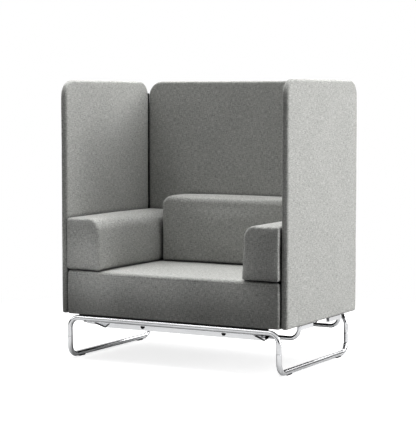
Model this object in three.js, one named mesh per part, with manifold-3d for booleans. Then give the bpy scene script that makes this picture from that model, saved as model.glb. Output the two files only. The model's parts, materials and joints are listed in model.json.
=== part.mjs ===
// Acoustic high back lounge chair: an upholstered seat block, two arms and a back cushion
// between three padded screens, on a chromed tube frame with two floor runners.
// Millimetres. X points to the right of the picture, Y to the back, Z up. The origin is on
// the floor, under the middle of the chair.
import * as THREE from 'three';
import Module from 'manifold-3d';
import { mergeVertices } from 'three/addons/utils/BufferGeometryUtils.js';

const wasm = await Module();
wasm.setup();

// Whole chair
const overallWidth = 1200;
const overallDepth = 802;
const overallHeight = 1324;

// Fits and cutters
const fit = 0.3; // air between two pieces that touch
const padGap = 2; // air between two upholstered pieces
const overrun = 6; // how far a cutter runs past what it cuts

// Screens
const screenThickness = 34;
const screenBottom = 216;
const screenTopRadius = 75;
const screenFootRadius = 7;
const screenEdge = 11; // rounding of the padded rim
const screenPadding = 8; // foam and fabric over the board
const cornerGap = 2; // a side screen's end to the plane of the back screen's face

// Posts in the outer rear corners
const postWidth = 15;
const postDepth = 26;
const postInset = 34; // from a screen's foot and from its round top corner

// Seat block
const seatProud = 8; // ahead of the side screens
const seatBottom = 216;
const seatTop = 425;
const seatSideGap = 4;
const seatCrown = 7;
const seatFrontEdge = 24;
const seatSideEdge = 12;
const seatFootEdge = 6;
const seatCornerRadius = 8;
const seatFrameHeight = 62;
const seatFrameRail = 42;
const seatFlange = 36; // cover turned in under the frame
const webbingThickness = 2;
const webbingWidth = 60;
const liningThickness = 1;

// Arms
const armWidth = 195;
const armHeight = 250;
const armProud = 16; // ahead of the side screens, crown and all
const armSlope = 3.5; // degrees, the lean of the inner face
const armTopRadius = 42;
const armRadius = 15;
const armEdge = 11;
const armCrown = 2;
const armFlange = 26;

// Back cushion
const cushionThickness = 209;
const cushionHeight = 332;
const cushionTopRadius = 50;
const cushionFootRadius = 16;
const cushionTopEdge = 30;
const cushionFrontEdge = 12;
const cushionEdgeDepth = 18;
const cushionBackEdge = 8;
const cushionCrown = 9;
const cushionFlange = 40;

// Upholstery in common
const coverWall = 3;
const boardThickness = 18;
const seamDraw = 3; // how far a seam is drawn in between its corners
const sideBulge = 2; // how far a side swells between its seams

// Main tube frame
const tubeDiameter = 25;
const tubeWall = 2;
const railHeight = 197.5;
const railSetback = 6.5; // front rail behind the side screens' front edge
const rearRailInset = 15; // rear rail ahead of the side screens' rear end
const legInset = 44;
const frameBend = 50;
const sleeveLength = 30; // necked end of a runner inside a leg
const glideThickness = 3;
const glideLength = 46;
const glideWidth = 15;
const glideFlange = 1.6; // glide rim beside the tube
const glideInset = 96; // glide's middle from its leg
const glidePinRadius = 3;
const glidePinHeight = 5;

// Cross tubes that carry the side screens
const crossDiameter = 20;
const crossWall = 2;
const crossHeight = 158;
const crossBend = 48;
const crossEndInset = 15;
const crossSetback = 145; // from the rail's middle

// Shoes under the side screens
const shoeLength = 132;
const shoeWidth = 15;
const shoeHeight = 20;

// Plates that tie the rails to the cross tubes
const plateInset = 170.5; // a plate's end from the chair's side
const plateThickness = 3;
const plateSetback = 109; // front of its web behind the rail's middle
const plateFoot = 145; // height of the bend at the web's foot
const plateLip = 4; // plate beyond the line where it touches a tube
const plugInset = 211.5; // a plug's middle from the plate's end
const plugRise = 15; // and from the web's foot
const plugFlangeRadius = 9.5;
const plugFlangeHeight = 4;
const plugBarrelRadius = 6.5;
const plugBarrelLength = 7;

// Strips between the rails and the seat, and all screws
const spacerGap = 4; // between the two strips on a rail
const spacerInset = 55; // a strip's outer end from its leg
const spacerWidth = 16;
const boltInset = 85; // a seat bolt from its leg, clear of the tie plates' ends
const boltRadius = 4;
const boltHeadRadius = 7;
const boltHeadHeight = 4;
const screwRadius = 2.6;
const screwHeadRadius = 5;
const screwHeadHeight = 3;
const screwBite = 22; // length in the wood
const boltBite = 40;

// Shares
const armBoltHeightShare = 0.55;
const armBoltDepthShare = 0.5;
const cushionBoltShare = 0.5;
const cornerScrewShare = 0.3;
const shoeScrewShare = 0.62;
const rimRoundShare = 0.7;
const crownRingShares = [0.74, 0.46, 0.2];
const webbingLongShares = [-0.69, -0.23, 0.23, 0.69];
const webbingCrossShares = [-0.4, 0.4];

// Counts
const tubeSides = 12;
const bendSteps = 4;
const screwSides = 6;
const rimSteps = 2;
const hiddenRimSteps = 1;
const arcSteps = 3;
const sideSteps = 4;
const screenArcSteps = 4;

// Places that several pieces share
const halfWidth = overallWidth / 2;
const frontFace = -overallDepth / 2;
const backFace = overallDepth / 2;
const screenFront = frontFace + Math.max(armProud, seatProud);
const backScreenFront = backFace - screenThickness;
const screenRear = backScreenFront - cornerGap;
const screenInner = halfWidth - screenThickness;
const boardHalf = screenThickness / 2 - screenPadding - fit;
const seatHalf = screenInner - seatSideGap;
const seatFront = screenFront - seatProud;
const seatRear = backScreenFront - padGap;
const armOuter = screenInner - padGap;
const armInner = armOuter - armWidth;
const armFront = screenFront - armProud + armCrown;
const armBottom = seatTop + fit;
const cushionHalf = armInner - padGap;
const cushionFront = seatRear - cushionThickness;
const cushionBottom = seatTop + fit;
const tubeRadius = tubeDiameter / 2;
const tubeFlat = tubeRadius * Math.cos(Math.PI / tubeSides);
const railY = screenFront + railSetback;
const rearRailY = screenRear - rearRailInset;
const legX = halfWidth - legInset;
const plateHalf = halfWidth - plateInset;
const plugX = plateHalf - plugInset;
const boltX = legX - boltInset;
const runnerHeight = glideThickness + fit + tubeFlat;
const jointHeight = (runnerHeight + railHeight) / 2;
const crossRadius = crossDiameter / 2;
const crossX = halfWidth - crossEndInset;
const crossTop = screenBottom - fit;
const frameBottom = seatBottom + coverWall + fit;
const frameTop = frameBottom + seatFrameHeight;

// Frames for outlines: columns are the world directions of an outline's u, v and its depth
const eastX = new THREE.Vector3(1, 0, 0);
const northY = new THREE.Vector3(0, 1, 0);
const upZ = new THREE.Vector3(0, 0, 1);
const sideFrame = new THREE.Matrix4().makeBasis(northY, upZ, eastX);
const frontFrame = new THREE.Matrix4().makeBasis(eastX, upZ, northY.clone().negate());

// Materials, one for each finish
function finish(color, roughness, metalness) {
  return new THREE.MeshStandardMaterial({ color, roughness, metalness });
}
const finishes = {
  fabric: finish(0xadadaa, 0.95, 0),
  foam: finish(0xe6dfc8, 0.9, 0),
  plywood: finish(0xc9a877, 0.7, 0),
  webbing: finish(0x3a3a3c, 0.85, 0),
  lining: finish(0x1d1d1f, 0.95, 0),
  chrome: finish(0xdfe1e3, 0.08, 1),
  blackSteel: finish(0x17181a, 0.45, 0.6),
  blackPlastic: finish(0x151517, 0.5, 0),
};

const chair = new THREE.Group();

// Adds one piece to the chair as its own named mesh.
function addPiece(name, solid, material) {
  const geometry = geometryOf(solid);
  geometry.computeVertexNormals();
  const mesh = new THREE.Mesh(geometry, material.clone());
  mesh.name = name;
  chair.add(mesh);
}

// A closed geometry as a solid that can be cut and joined.
function solidOf(geometry) {
  const bare = geometry.clone();
  bare.deleteAttribute('normal');
  bare.deleteAttribute('uv');
  const merged = mergeVertices(bare);
  return new wasm.Manifold(new wasm.Mesh({
    numProp: 3,
    vertProperties: new Float32Array(merged.attributes.position.array),
    triVerts: new Uint32Array(merged.index.array),
  }));
}

function geometryOf(solid) {
  const { vertProperties, triVerts } = solid.getMesh();
  return new THREE.BufferGeometry()
    .setAttribute('position', new THREE.BufferAttribute(vertProperties, 3))
    .setIndex(new THREE.BufferAttribute(triVerts, 1));
}

function without(solid, cutters) {
  return cutters.reduce((rest, cutter) => rest.subtract(cutter), solid);
}

// Block between two opposite corners, given as x, y and z ranges.
function block([x0, x1], [y0, y1], [z0, z1]) {
  const geometry = new THREE.BoxGeometry(x1 - x0, y1 - y0, z1 - z0);
  geometry.translate((x0 + x1) / 2, (y0 + y1) / 2, (z0 + z1) / 2);
  return solidOf(geometry);
}

// Turned piece on an axis that starts at a point; the profile holds radius and distance pairs.
function turned(profile, start, direction, sides, phase = 0) {
  const points = profile.map(([radius, distance]) => new THREE.Vector2(radius, distance));
  const geometry = new THREE.LatheGeometry(points, sides, phase);
  const turn = new THREE.Quaternion().setFromUnitVectors(northY, direction);
  geometry.applyQuaternion(turn).translate(start.x, start.y, start.z);
  return solidOf(geometry);
}

function rod(radius, start, direction, length, sides = screwSides) {
  return turned([[0, 0], [radius, 0], [radius, length], [0, length]], start, direction, sides);
}

// Screw with a flat head whose outer face is at the start.
function screw(size, start, direction, length) {
  const { radius, headRadius, headHeight } = size;
  const profile = [
    [0, 0], [headRadius, 0], [headRadius, headHeight],
    [radius, headHeight], [radius, length], [0, length],
  ];
  return turned(profile, start, direction, screwSides);
}

// Room for a screw: its shank and, where wanted, its head.
function screwRoom(size, start, direction, length, headRoom = 0) {
  const from = start.clone().addScaledVector(direction, -overrun);
  const shank = rod(size.radius + fit, from, direction, length + overrun + fit);
  if (headRoom === 0) return shank;
  const head = rod(size.headRadius + fit, from, direction, headRoom + overrun + fit);
  return shank.add(head);
}

const boltSize = { radius: boltRadius, headRadius: boltHeadRadius, headHeight: boltHeadHeight };
const screwSize = {
  radius: screwRadius, headRadius: screwHeadRadius, headHeight: screwHeadHeight,
};

// Straight prism of an outline, between two depths of its frame.
function prism(shape, from, to, frame, curveSegments = screenArcSteps) {
  const settings = { depth: to - from, bevelEnabled: false, curveSegments };
  const geometry = new THREE.ExtrudeGeometry(shape, settings);
  return solidOf(geometry.translate(0, 0, from).applyMatrix4(frame));
}

// Path of straight runs with a round bend at each inner corner; its steps gather in the bends.
class BentPath extends THREE.Curve {
  constructor(corners, bendRadius) {
    super();
    this.places = [corners[0]];
    this.headings = [corners[1].clone().sub(corners[0]).normalize()];
    for (let i = 1; i + 1 < corners.length; i += 1) this.addBend(corners, i, bendRadius);
    this.places.push(corners.at(-1));
    this.headings.push(corners.at(-1).clone().sub(corners.at(-2)).normalize());
    this.steps = this.places.length - 1;
  }

  addBend(corners, i, radius) {
    const before = corners[i].clone().sub(corners[i - 1]).normalize();
    const after = corners[i + 1].clone().sub(corners[i]).normalize();
    const start = corners[i].clone().addScaledVector(before, -radius);
    const centre = start.clone().addScaledVector(after, radius);
    for (let step = 0; step <= bendSteps; step += 1) {
      const angle = step / bendSteps * Math.PI / 2;
      const out = after.clone().multiplyScalar(-Math.cos(angle));
      out.addScaledVector(before, Math.sin(angle));
      this.places.push(centre.clone().addScaledVector(out, radius));
      const heading = before.clone().multiplyScalar(Math.cos(angle));
      this.headings.push(heading.addScaledVector(after, Math.sin(angle)));
    }
  }

  getPoint(t, target = new THREE.Vector3()) {
    const along = t * this.steps;
    const i = Math.min(Math.floor(along), this.steps - 1);
    return target.lerpVectors(this.places[i], this.places[i + 1], along - i);
  }

  getPointAt(t, target) {
    return this.getPoint(t, target);
  }

  getTangentAt(t, target = new THREE.Vector3()) {
    return target.copy(this.headings[Math.round(t * this.steps)]);
  }
}

// Regular outline of a tube, with its bore where the wall is more than nothing.
function tubeSection(radius, wall) {
  const ring = (size) => Array.from({ length: tubeSides }, (_, i) => {
    const angle = (i + 1 / 2) * 2 * Math.PI / tubeSides;
    return new THREE.Vector2(size * Math.cos(angle), size * Math.sin(angle));
  });
  const shape = new THREE.Shape(ring(radius));
  if (wall > 0) shape.holes.push(new THREE.Path(ring(radius - wall)));
  return shape;
}

function bentTube(corners, bendRadius, radius, wall) {
  const extrudePath = new BentPath(corners, bendRadius);
  const settings = { steps: extrudePath.steps, extrudePath };
  return solidOf(new THREE.ExtrudeGeometry(tubeSection(radius, wall), settings));
}

// Room for a straight tube along X, with the air that a touching piece keeps.
function tubeRoom(radius, centre, length) {
  const start = new THREE.Vector3(-length / 2, 0, 0).add(centre);
  return rod(radius + fit, start, eastX, length, tubeSides * 2);
}

// Ring of points round a box of u and v, with round corners and with sides drawn in by draw.
// The radii start at the corner of high u and low v, and run anticlockwise.
function roundedRing({ u, v }, radii, draw, steps, sides) {
  const corners = [[u[1], v[0]], [u[1], v[1]], [u[0], v[1]], [u[0], v[0]]];
  const points = [];
  corners.forEach(([cu, cv], k) => {
    const radius = radii[k];
    const middle = new THREE.Vector2(cu - Math.sign(cu - u[0] - (u[1] - u[0]) / 2) * radius,
      cv - Math.sign(cv - v[0] - (v[1] - v[0]) / 2) * radius);
    for (let i = 0; i <= steps; i += 1) {
      const angle = (k - 1 + i / steps) * Math.PI / 2;
      const out = new THREE.Vector2(Math.cos(angle), Math.sin(angle));
      points.push(middle.clone().addScaledVector(out, radius));
    }
    points.push(...drawnSide(points.at(-1), corners, radii, k, draw, sides));
  });
  return points;
}

// Points between two corners of a ring, drawn in most at the middle.
function drawnSide(from, corners, radii, k, draw, sides) {
  const next = (k + 1) % corners.length;
  const ends = corners[next];
  const length = radii[next];
  const along = new THREE.Vector2(ends[0] - corners[k][0], ends[1] - corners[k][1]).normalize();
  const to = new THREE.Vector2(ends[0], ends[1]).addScaledVector(along, -length);
  const inward = new THREE.Vector2(-along.y, along.x);
  return Array.from({ length: sides - 1 }, (_, i) => {
    const share = (i + 1) / sides;
    const point = from.clone().lerp(to, share);
    return point.addScaledVector(inward, draw * Math.sin(Math.PI * share));
  });
}

// Closed skin over rings that have the same count of points, with a fan at each end.
function loft(rings, firstCentre, lastCentre) {
  const points = [firstCentre, ...rings.flat(), lastCentre];
  const count = rings[0].length;
  const last = rings.length - 1;
  const at = (ring, i) => 1 + ring * count + i % count;
  const index = [];
  for (let i = 0; i < count; i += 1) {
    index.push(0, at(0, i + 1), at(0, i));
    for (let ring = 0; ring < last; ring += 1) {
      const [a, b, c, d] = [at(ring, i), at(ring, i + 1), at(ring + 1, i), at(ring + 1, i + 1)];
      index.push(a, b, d, a, d, c);
    }
    index.push(points.length - 1, at(last, i), at(last, i + 1));
  }
  return new THREE.BufferGeometry().setFromPoints(points).setIndex(index);
}

// Corner radius of a rim's ring: it shrinks with the rim, but never to nothing.
function rimRadius(radius, k, rim, share) {
  const beside = Math.max(rim.sides, k === 0 || k === 3 ? rim.low : rim.high);
  return radius - Math.min(radius * rimRoundShare, beside) * share;
}

// One rounded rim of a padded form, from its flat end to its side or the other way.
function rimRings(form, rim, level, inwards, steps, draw) {
  const rings = [];
  for (let i = 0; i <= steps; i += 1) {
    const angle = (inwards > 0 ? i : steps - i) / steps * Math.PI / 2;
    const share = 1 - Math.sin(angle);
    const u = [form.u[0] + rim.sides * share, form.u[1] - rim.sides * share];
    const v = [form.v[0] + rim.low * share, form.v[1] - rim.high * share];
    const radii = form.radii.map((radius, k) => rimRadius(radius, k, rim, share));
    const height = level + inwards * rim.depth * (1 - Math.cos(angle));
    const ring = roundedRing({ u, v }, radii, draw, form.arcSteps, form.sideSteps);
    rings.push(ring.map((point) => form.place(point.x, point.y, height)));
  }
  return rings;
}

// Crowned cap: copies of the last rim that shrink towards the crown's middle.
function crownRings(form, rim) {
  const last = roundedRing({
    u: [form.u[0] + rim.sides, form.u[1] - rim.sides],
    v: [form.v[0] + rim.low, form.v[1] - rim.high],
  }, form.radii.map((radius, k) => rimRadius(radius, k, rim, 1)), form.draw, form.arcSteps,
  form.sideSteps);
  return crownRingShares.map((share) => last.map((point) => {
    const flat = point.clone().sub(form.crownMiddle).multiplyScalar(share);
    flat.add(form.crownMiddle);
    return form.place(flat.x, flat.y, form.levels[1] + form.crown(flat.x, flat.y));
  }));
}

// Padded form: its outline is lofted between two levels, with rounded rims, sides that swell
// between their seams, and a crown on the upper cap where the form has one.
function paddedForm(form) {
  const [low, high] = form.levels;
  const inner = {
    ...form,
    u: [form.u[0] + form.bulge, form.u[1] - form.bulge],
    v: [form.v[0] + form.bulge, form.v[1] - form.bulge],
  };
  const rings = rimRings(inner, form.lowRim, low, 1, form.rimSteps, form.draw);
  if (form.bulge > 0) {
    const waist = roundedRing(inner, form.radii, -form.bulge, form.arcSteps, form.sideSteps);
    rings.push(waist.map((point) => form.place(point.x, point.y, (low + high) / 2)));
  }
  rings.push(...rimRings(inner, form.highRim, high, -1, form.rimSteps, form.draw));
  const middle = form.crownMiddle;
  const lowMiddle = form.place(middle.x, middle.y, low);
  if (!form.crown) return solidOf(loft(rings, lowMiddle, form.place(middle.x, middle.y, high)));
  rings.push(...crownRings(inner, form.highRim));
  const peak = form.place(middle.x, middle.y, high + form.crown(middle.x, middle.y));
  return solidOf(loft(rings, lowMiddle, peak));
}

// The same form one wall further in.
function shrunkForm(form, wall) {
  const lessRim = (rim) => ({
    depth: rim.depth - wall, sides: rim.sides - wall, low: rim.low - wall, high: rim.high - wall,
  });
  return {
    ...form,
    u: [form.u[0] + wall, form.u[1] - wall],
    v: [form.v[0] + wall, form.v[1] - wall],
    levels: [form.levels[0] + wall, form.levels[1] - wall],
    radii: form.radii.map((radius) => radius - wall),
    lowRim: lessRim(form.lowRim),
    highRim: lessRim(form.highRim),
    rimSteps: hiddenRimSteps,
  };
}

function evenRim(size) {
  return { depth: size, sides: size, low: size, high: size };
}

// Height of a round crown that is full in the middle of a span and nothing at its ends.
function hump(place, middle, half) {
  const share = (place - middle) / half;
  return Math.max(0, 1 - share * share);
}

const alongPlan = (u, v, w) => new THREE.Vector3(u, v, w);
const alongSide = (u, v, w) => new THREE.Vector3(w, u, v);
const alongFront = (u, v, w) => new THREE.Vector3(u, -w, v);

// Seat block
function seatForm() {
  const sitting = { half: armInner, rear: cushionFront };
  const middleY = (seatFront + sitting.rear) / 2;
  const reach = (sitting.rear - seatFront) / 2;
  return {
    place: alongPlan,
    u: [-seatHalf, seatHalf],
    v: [seatFront, seatRear],
    levels: [seatBottom, seatTop],
    radii: [seatCornerRadius, seatCornerRadius, seatCornerRadius, seatCornerRadius],
    lowRim: evenRim(seatFootEdge),
    highRim: { depth: seatFrontEdge, sides: seatSideEdge, low: seatFrontEdge, high: seatSideEdge },
    draw: seamDraw,
    bulge: sideBulge,
    rimSteps,
    arcSteps,
    sideSteps,
    crownMiddle: new THREE.Vector2(0, middleY),
    crown: (x, y) => seatCrown * hump(x, 0, sitting.half) * hump(y, middleY, reach),
  };
}

function seatBolts() {
  const start = railHeight - tubeFlat - fit - boltHeadHeight;
  const length = frameBottom + boltBite - start;
  return [railY, rearRailY].flatMap((y) => [-1, 1].map((side) => {
    const head = new THREE.Vector3(side * boltX, y, start);
    const room = screwRoom(boltSize, head, upZ, length);
    return { solid: screw(boltSize, head, upZ, length), room };
  }));
}

function addSeat(bolts) {
  const form = seatForm();
  const rooms = bolts.map((bolt) => bolt.room);
  const hollow = paddedForm(shrunkForm(form, coverWall));
  const filling = paddedForm(shrunkForm(form, coverWall + fit));
  const inside = [-seatHalf + seatFlange, seatHalf - seatFlange];
  const insideDepth = [seatFront + seatFlange, seatRear - seatFlange];
  const window = block(inside, insideDepth, [seatBottom - overrun, seatBottom + overrun]);
  const cover = without(paddedForm(form), [hollow, window, ...rooms]);
  addPiece('seat_cover', cover, finishes.fabric);
  const wide = [-halfWidth, halfWidth];
  const deep = [frontFace, backFace];
  const low = filling.intersect(block(wide, deep, [0, frameTop]));
  const edge = coverWall + fit + seatFrameRail;
  const core = block([-seatHalf + edge, seatHalf - edge], [seatFront + edge, seatRear - edge],
    [0, overallHeight]);
  addPiece('seat_frame', without(low, [core, ...rooms]), finishes.plywood);
  const foamFloor = frameTop + fit + webbingThickness + fit;
  const foam = filling.subtract(block(wide, deep, [0, foamFloor]));
  addPiece('seat_foam', foam, finishes.foam);
  addPiece('seat_webbing', webbing(), finishes.webbing);
  const top = seatBottom + coverWall;
  const lining = block([inside[0] + fit, inside[1] - fit],
    [insideDepth[0] + fit, insideDepth[1] - fit], [top - liningThickness, top]);
  addPiece('seat_lining', lining, finishes.lining);
}

// Crossing straps that span the seat frame, sewn to one another where they cross.
function webbing() {
  const reach = seatFrameRail / 2 + coverWall;
  const [x0, x1] = [-seatHalf + reach, seatHalf - reach];
  const [y0, y1] = [seatFront + reach, seatRear - reach];
  const heights = [frameTop + fit, frameTop + fit + webbingThickness];
  const half = webbingWidth / 2;
  const straps = webbingLongShares.map((share) => {
    const x = share * x1;
    return block([x - half, x + half], [y0, y1], heights);
  });
  webbingCrossShares.forEach((share) => {
    const y = (y0 + y1) / 2 + share * (y1 - y0) / 2;
    straps.push(block([x0, x1], [y - half, y + half], heights));
  });
  return straps.reduce((all, strap) => all.add(strap));
}

// Arms: side is -1 for the left one and 1 for the right one.
function armForm(side) {
  const lean = Math.tan(THREE.MathUtils.degToRad(armSlope));
  const place = (u, v, w) => {
    const share = (armOuter - Math.abs(u)) / armWidth;
    return alongFront(u + side * share * lean * (v - armBottom), v, w);
  };
  const u = side < 0 ? [-armOuter, -armInner] : [armInner, armOuter];
  const [innerTop, outerTop] = [armTopRadius, armRadius];
  const [rightTop, leftTop] = side < 0 ? [innerTop, outerTop] : [outerTop, innerTop];
  const middle = new THREE.Vector2((u[0] + u[1]) / 2, armBottom + armHeight / 2);
  return {
    place,
    u,
    v: [armBottom, armBottom + armHeight],
    levels: [-seatRear, -armFront],
    radii: [armRadius, rightTop, leftTop, armRadius],
    lowRim: evenRim(armEdge),
    highRim: evenRim(armEdge),
    draw: seamDraw / 2,
    bulge: sideBulge,
    rimSteps,
    arcSteps,
    sideSteps,
    crownMiddle: middle,
    crown: (x, z) => armCrown * hump(x, middle.x, armWidth / 2) * hump(z, middle.y, armHeight / 2),
  };
}

function armBolt(side) {
  const y = armFront + armBoltDepthShare * (seatRear - armFront);
  const z = armBottom + armBoltHeightShare * armHeight;
  const headFace = halfWidth - screenPadding - fit;
  const start = new THREE.Vector3(side * headFace, y, z);
  const direction = eastX.clone().multiplyScalar(-side);
  const length = headFace - armOuter + coverWall + boardThickness;
  const room = screwRoom(boltSize, start, direction, length, boltHeadHeight);
  return { solid: screw(boltSize, start, direction, length), room };
}

function addArm(name, side, bolt) {
  const form = armForm(side);
  const hollow = paddedForm(shrunkForm(form, coverWall));
  const filling = paddedForm(shrunkForm(form, coverWall + fit));
  const xs = side < 0
    ? [-armOuter + armFlange, -armInner - armFlange]
    : [armInner + armFlange, armOuter - armFlange];
  const ys = [armFront + armFlange, seatRear - armFlange];
  const window = block(xs, ys, [armBottom - overrun, armBottom + overrun]);
  const cover = without(paddedForm(form), [hollow, window, bolt.room]);
  addPiece(name + '_arm_cover', cover, finishes.fabric);
  const boardFace = armOuter - coverWall - fit - boardThickness;
  const slice = (from) => {
    const range = side < 0 ? [-halfWidth, -from] : [from, halfWidth];
    return block(range, [frontFace - overrun, backFace], [0, overallHeight]);
  };
  const board = filling.intersect(slice(boardFace));
  addPiece(name + '_arm_board', board.subtract(bolt.room), finishes.plywood);
  addPiece(name + '_arm_foam', filling.subtract(slice(boardFace - fit)), finishes.foam);
}

// Back cushion
function cushionForm() {
  const z0 = cushionBottom;
  const z1 = cushionBottom + cushionHeight;
  const middle = new THREE.Vector2(0, (z0 + z1) / 2);
  const frontRim = {
    depth: cushionEdgeDepth, sides: cushionFrontEdge, low: cushionFrontEdge, high: cushionTopEdge,
  };
  return {
    place: alongFront,
    u: [-cushionHalf, cushionHalf],
    v: [z0, z1],
    levels: [-seatRear, -cushionFront],
    radii: [cushionFootRadius, cushionTopRadius, cushionTopRadius, cushionFootRadius],
    lowRim: evenRim(cushionBackEdge),
    highRim: frontRim,
    draw: seamDraw,
    bulge: sideBulge,
    rimSteps,
    arcSteps,
    sideSteps,
    crownMiddle: middle,
    crown: (x, z) => cushionCrown * hump(x, 0, cushionHalf) * hump(z, middle.y, cushionHeight / 2),
  };
}

function cushionBolts() {
  const z = cushionBottom + cushionHeight / 2;
  const headFace = backFace - screenPadding - fit;
  const length = headFace - seatRear + coverWall + boardThickness;
  const direction = northY.clone().negate();
  return [-1, 1].map((side) => {
    const start = new THREE.Vector3(side * cushionBoltShare * cushionHalf, headFace, z);
    const room = screwRoom(boltSize, start, direction, length, boltHeadHeight);
    return { solid: screw(boltSize, start, direction, length), room };
  });
}

function addCushion(bolts) {
  const form = cushionForm();
  const rooms = bolts.map((bolt) => bolt.room);
  const hollow = paddedForm(shrunkForm(form, coverWall));
  const filling = paddedForm(shrunkForm(form, coverWall + fit));
  const [z0, z1] = form.v;
  const window = block([-cushionHalf + cushionFlange, cushionHalf - cushionFlange],
    [seatRear - overrun, seatRear + overrun], [z0 + cushionFlange, z1 - cushionFlange]);
  const cover = without(paddedForm(form), [hollow, window, ...rooms]);
  addPiece('back_cushion_cover', cover, finishes.fabric);
  const boardFace = seatRear - coverWall - fit - boardThickness;
  const slice = (from) => block([-halfWidth, halfWidth], [from, backFace], [0, overallHeight]);
  addPiece('back_cushion_board', without(filling.intersect(slice(boardFace)), rooms),
    finishes.plywood);
  addPiece('back_cushion_foam', filling.subtract(slice(boardFace - fit)), finishes.foam);
}

// Screens
const screenFrames = {
  side: { place: alongSide, matrix: sideFrame },
  back: { place: alongFront, matrix: frontFrame },
};

// One screen: u is its width range, levels its range across the padding.
function addScreen(name, { u, levels, frame, rooms }) {
  const radii = [screenFootRadius, screenTopRadius, screenTopRadius, screenFootRadius];
  const skin = paddedForm({
    place: frame.place,
    u,
    v: [screenBottom, overallHeight],
    levels,
    radii,
    lowRim: evenRim(screenEdge),
    highRim: evenRim(screenEdge),
    draw: 0,
    bulge: 0,
    rimSteps,
    arcSteps: screenArcSteps,
    sideSteps: 1,
    crownMiddle: new THREE.Vector2((u[0] + u[1]) / 2, (screenBottom + overallHeight) / 2),
    crown: null,
  });
  const middle = (levels[0] + levels[1]) / 2;
  const slot = boardPrism(u, screenPadding, screenBottom - overrun,
    [middle - boardHalf - fit, middle + boardHalf + fit], frame.matrix);
  const board = boardPrism(u, screenPadding + fit, screenBottom,
    [middle - boardHalf, middle + boardHalf], frame.matrix);
  addPiece(name + '_cover', without(skin, [slot, ...rooms]), finishes.fabric);
  addPiece(name + '_board', without(board, rooms), finishes.plywood);
}

// Board outline with round top corners, as a prism across the screen.
function boardPrism(u, inset, foot, levels, matrix) {
  const [left, right, top] = [u[0] + inset, u[1] - inset, overallHeight - inset];
  const radius = screenTopRadius - inset;
  const shape = new THREE.Shape();
  shape.moveTo(left, foot);
  shape.lineTo(right, foot);
  shape.absarc(right - radius, top - radius, radius, 0, Math.PI / 2, false);
  shape.absarc(left + radius, top - radius, radius, Math.PI / 2, Math.PI, false);
  return prism(shape, levels[0], levels[1], matrix);
}

// Corner posts, each with one screw into the side screen and one into the back screen.
function cornerParts(side) {
  const bottom = screenBottom + postInset;
  const top = overallHeight - screenTopRadius - postInset;
  const inner = screenInner + fit;
  const outer = inner + postWidth;
  const front = screenRear + fit;
  const rear = front + postDepth;
  const low = bottom + cornerScrewShare * (top - bottom);
  const high = top - cornerScrewShare * (top - bottom);
  const sideways = eastX.clone().multiplyScalar(-side);
  const forwards = northY.clone().negate();
  const toBack = new THREE.Vector3(side * outer, backScreenFront + screenThickness / 2, low);
  const toSide = new THREE.Vector3(side * (inner + postWidth / 2), rear, high);
  const backLength = postWidth + fit + screenPadding + screwBite;
  const sideLength = postDepth + fit + screenPadding + screwBite;
  const parts = [[toBack, sideways, backLength], [toSide, forwards, sideLength]];
  const [intoBack, intoSide] = parts.map(([start, direction, length]) => ({
    solid: screw(screwSize, start, direction, length),
    room: screwRoom(screwSize, start, direction, length, screwHeadHeight),
  }));
  const range = side < 0 ? [-outer, -inner] : [inner, outer];
  const post = block(range, [front, rear], [bottom, top]);
  return { post: without(post, [intoBack.room, intoSide.room]), intoBack, intoSide };
}

// Shoes at the ends of the cross tubes, each with a screw up into its screen's board.
function shoeParts(side, y, inwards) {
  const x = side * crossX;
  const z0 = crossTop - shoeHeight;
  const ends = [y, y + inwards * shoeLength].sort((a, b) => a - b);
  const body = block([x - shoeWidth / 2, x + shoeWidth / 2], ends, [z0, crossTop]);
  const tubeHole = crossTube(y, crossRadius + fit, 0);
  const head = new THREE.Vector3(screenBoardX(side), y + inwards * shoeScrewShare * shoeLength, z0);
  const length = shoeHeight + screwBite;
  const room = screwRoom(screwSize, head, upZ, length, screwHeadHeight);
  return {
    shoe: without(body, [tubeHole, room]),
    screw: { solid: screw(screwSize, head, upZ, length), room },
  };
}

function screenBoardX(side) {
  return side * (halfWidth - screenThickness / 2);
}

// Main frame: the rails with their legs, and the runners whose necked ends slide into them.
function railCorners(y) {
  return [
    new THREE.Vector3(-legX, y, jointHeight + fit / 2),
    new THREE.Vector3(-legX, y, railHeight),
    new THREE.Vector3(legX, y, railHeight),
    new THREE.Vector3(legX, y, jointHeight + fit / 2),
  ];
}

function runnerCorners(x) {
  return [
    new THREE.Vector3(x, railY, jointHeight - fit / 2),
    new THREE.Vector3(x, railY, runnerHeight),
    new THREE.Vector3(x, rearRailY, runnerHeight),
    new THREE.Vector3(x, rearRailY, jointHeight - fit / 2),
  ];
}

// Stepped sleeve: its wide foot is fast in the runner's end, and its neck slides into the leg.
function neck(x, y) {
  const outer = tubeRadius - tubeWall - fit;
  const bore = outer - tubeWall;
  const foot = tubeRadius - tubeWall / 2;
  const profile = [
    [bore, 0], [foot, 0], [foot, sleeveLength / 2], [outer, sleeveLength / 2],
    [outer, sleeveLength * 3 / 2], [bore, sleeveLength * 3 / 2], [bore, 0],
  ];
  const start = new THREE.Vector3(x, y, jointHeight - fit / 2 - sleeveLength / 2);
  return turned(profile, start, upZ, tubeSides, Math.PI / tubeSides);
}

function runner(side, glides) {
  const x = side * legX;
  const tube = bentTube(runnerCorners(x), frameBend, tubeRadius, tubeWall);
  const necks = [railY, rearRailY].map((y) => neck(x, y));
  const holes = glides.map((glide) => glide.hole);
  return without(necks.reduce((all, part) => all.add(part), tube), holes);
}

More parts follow.
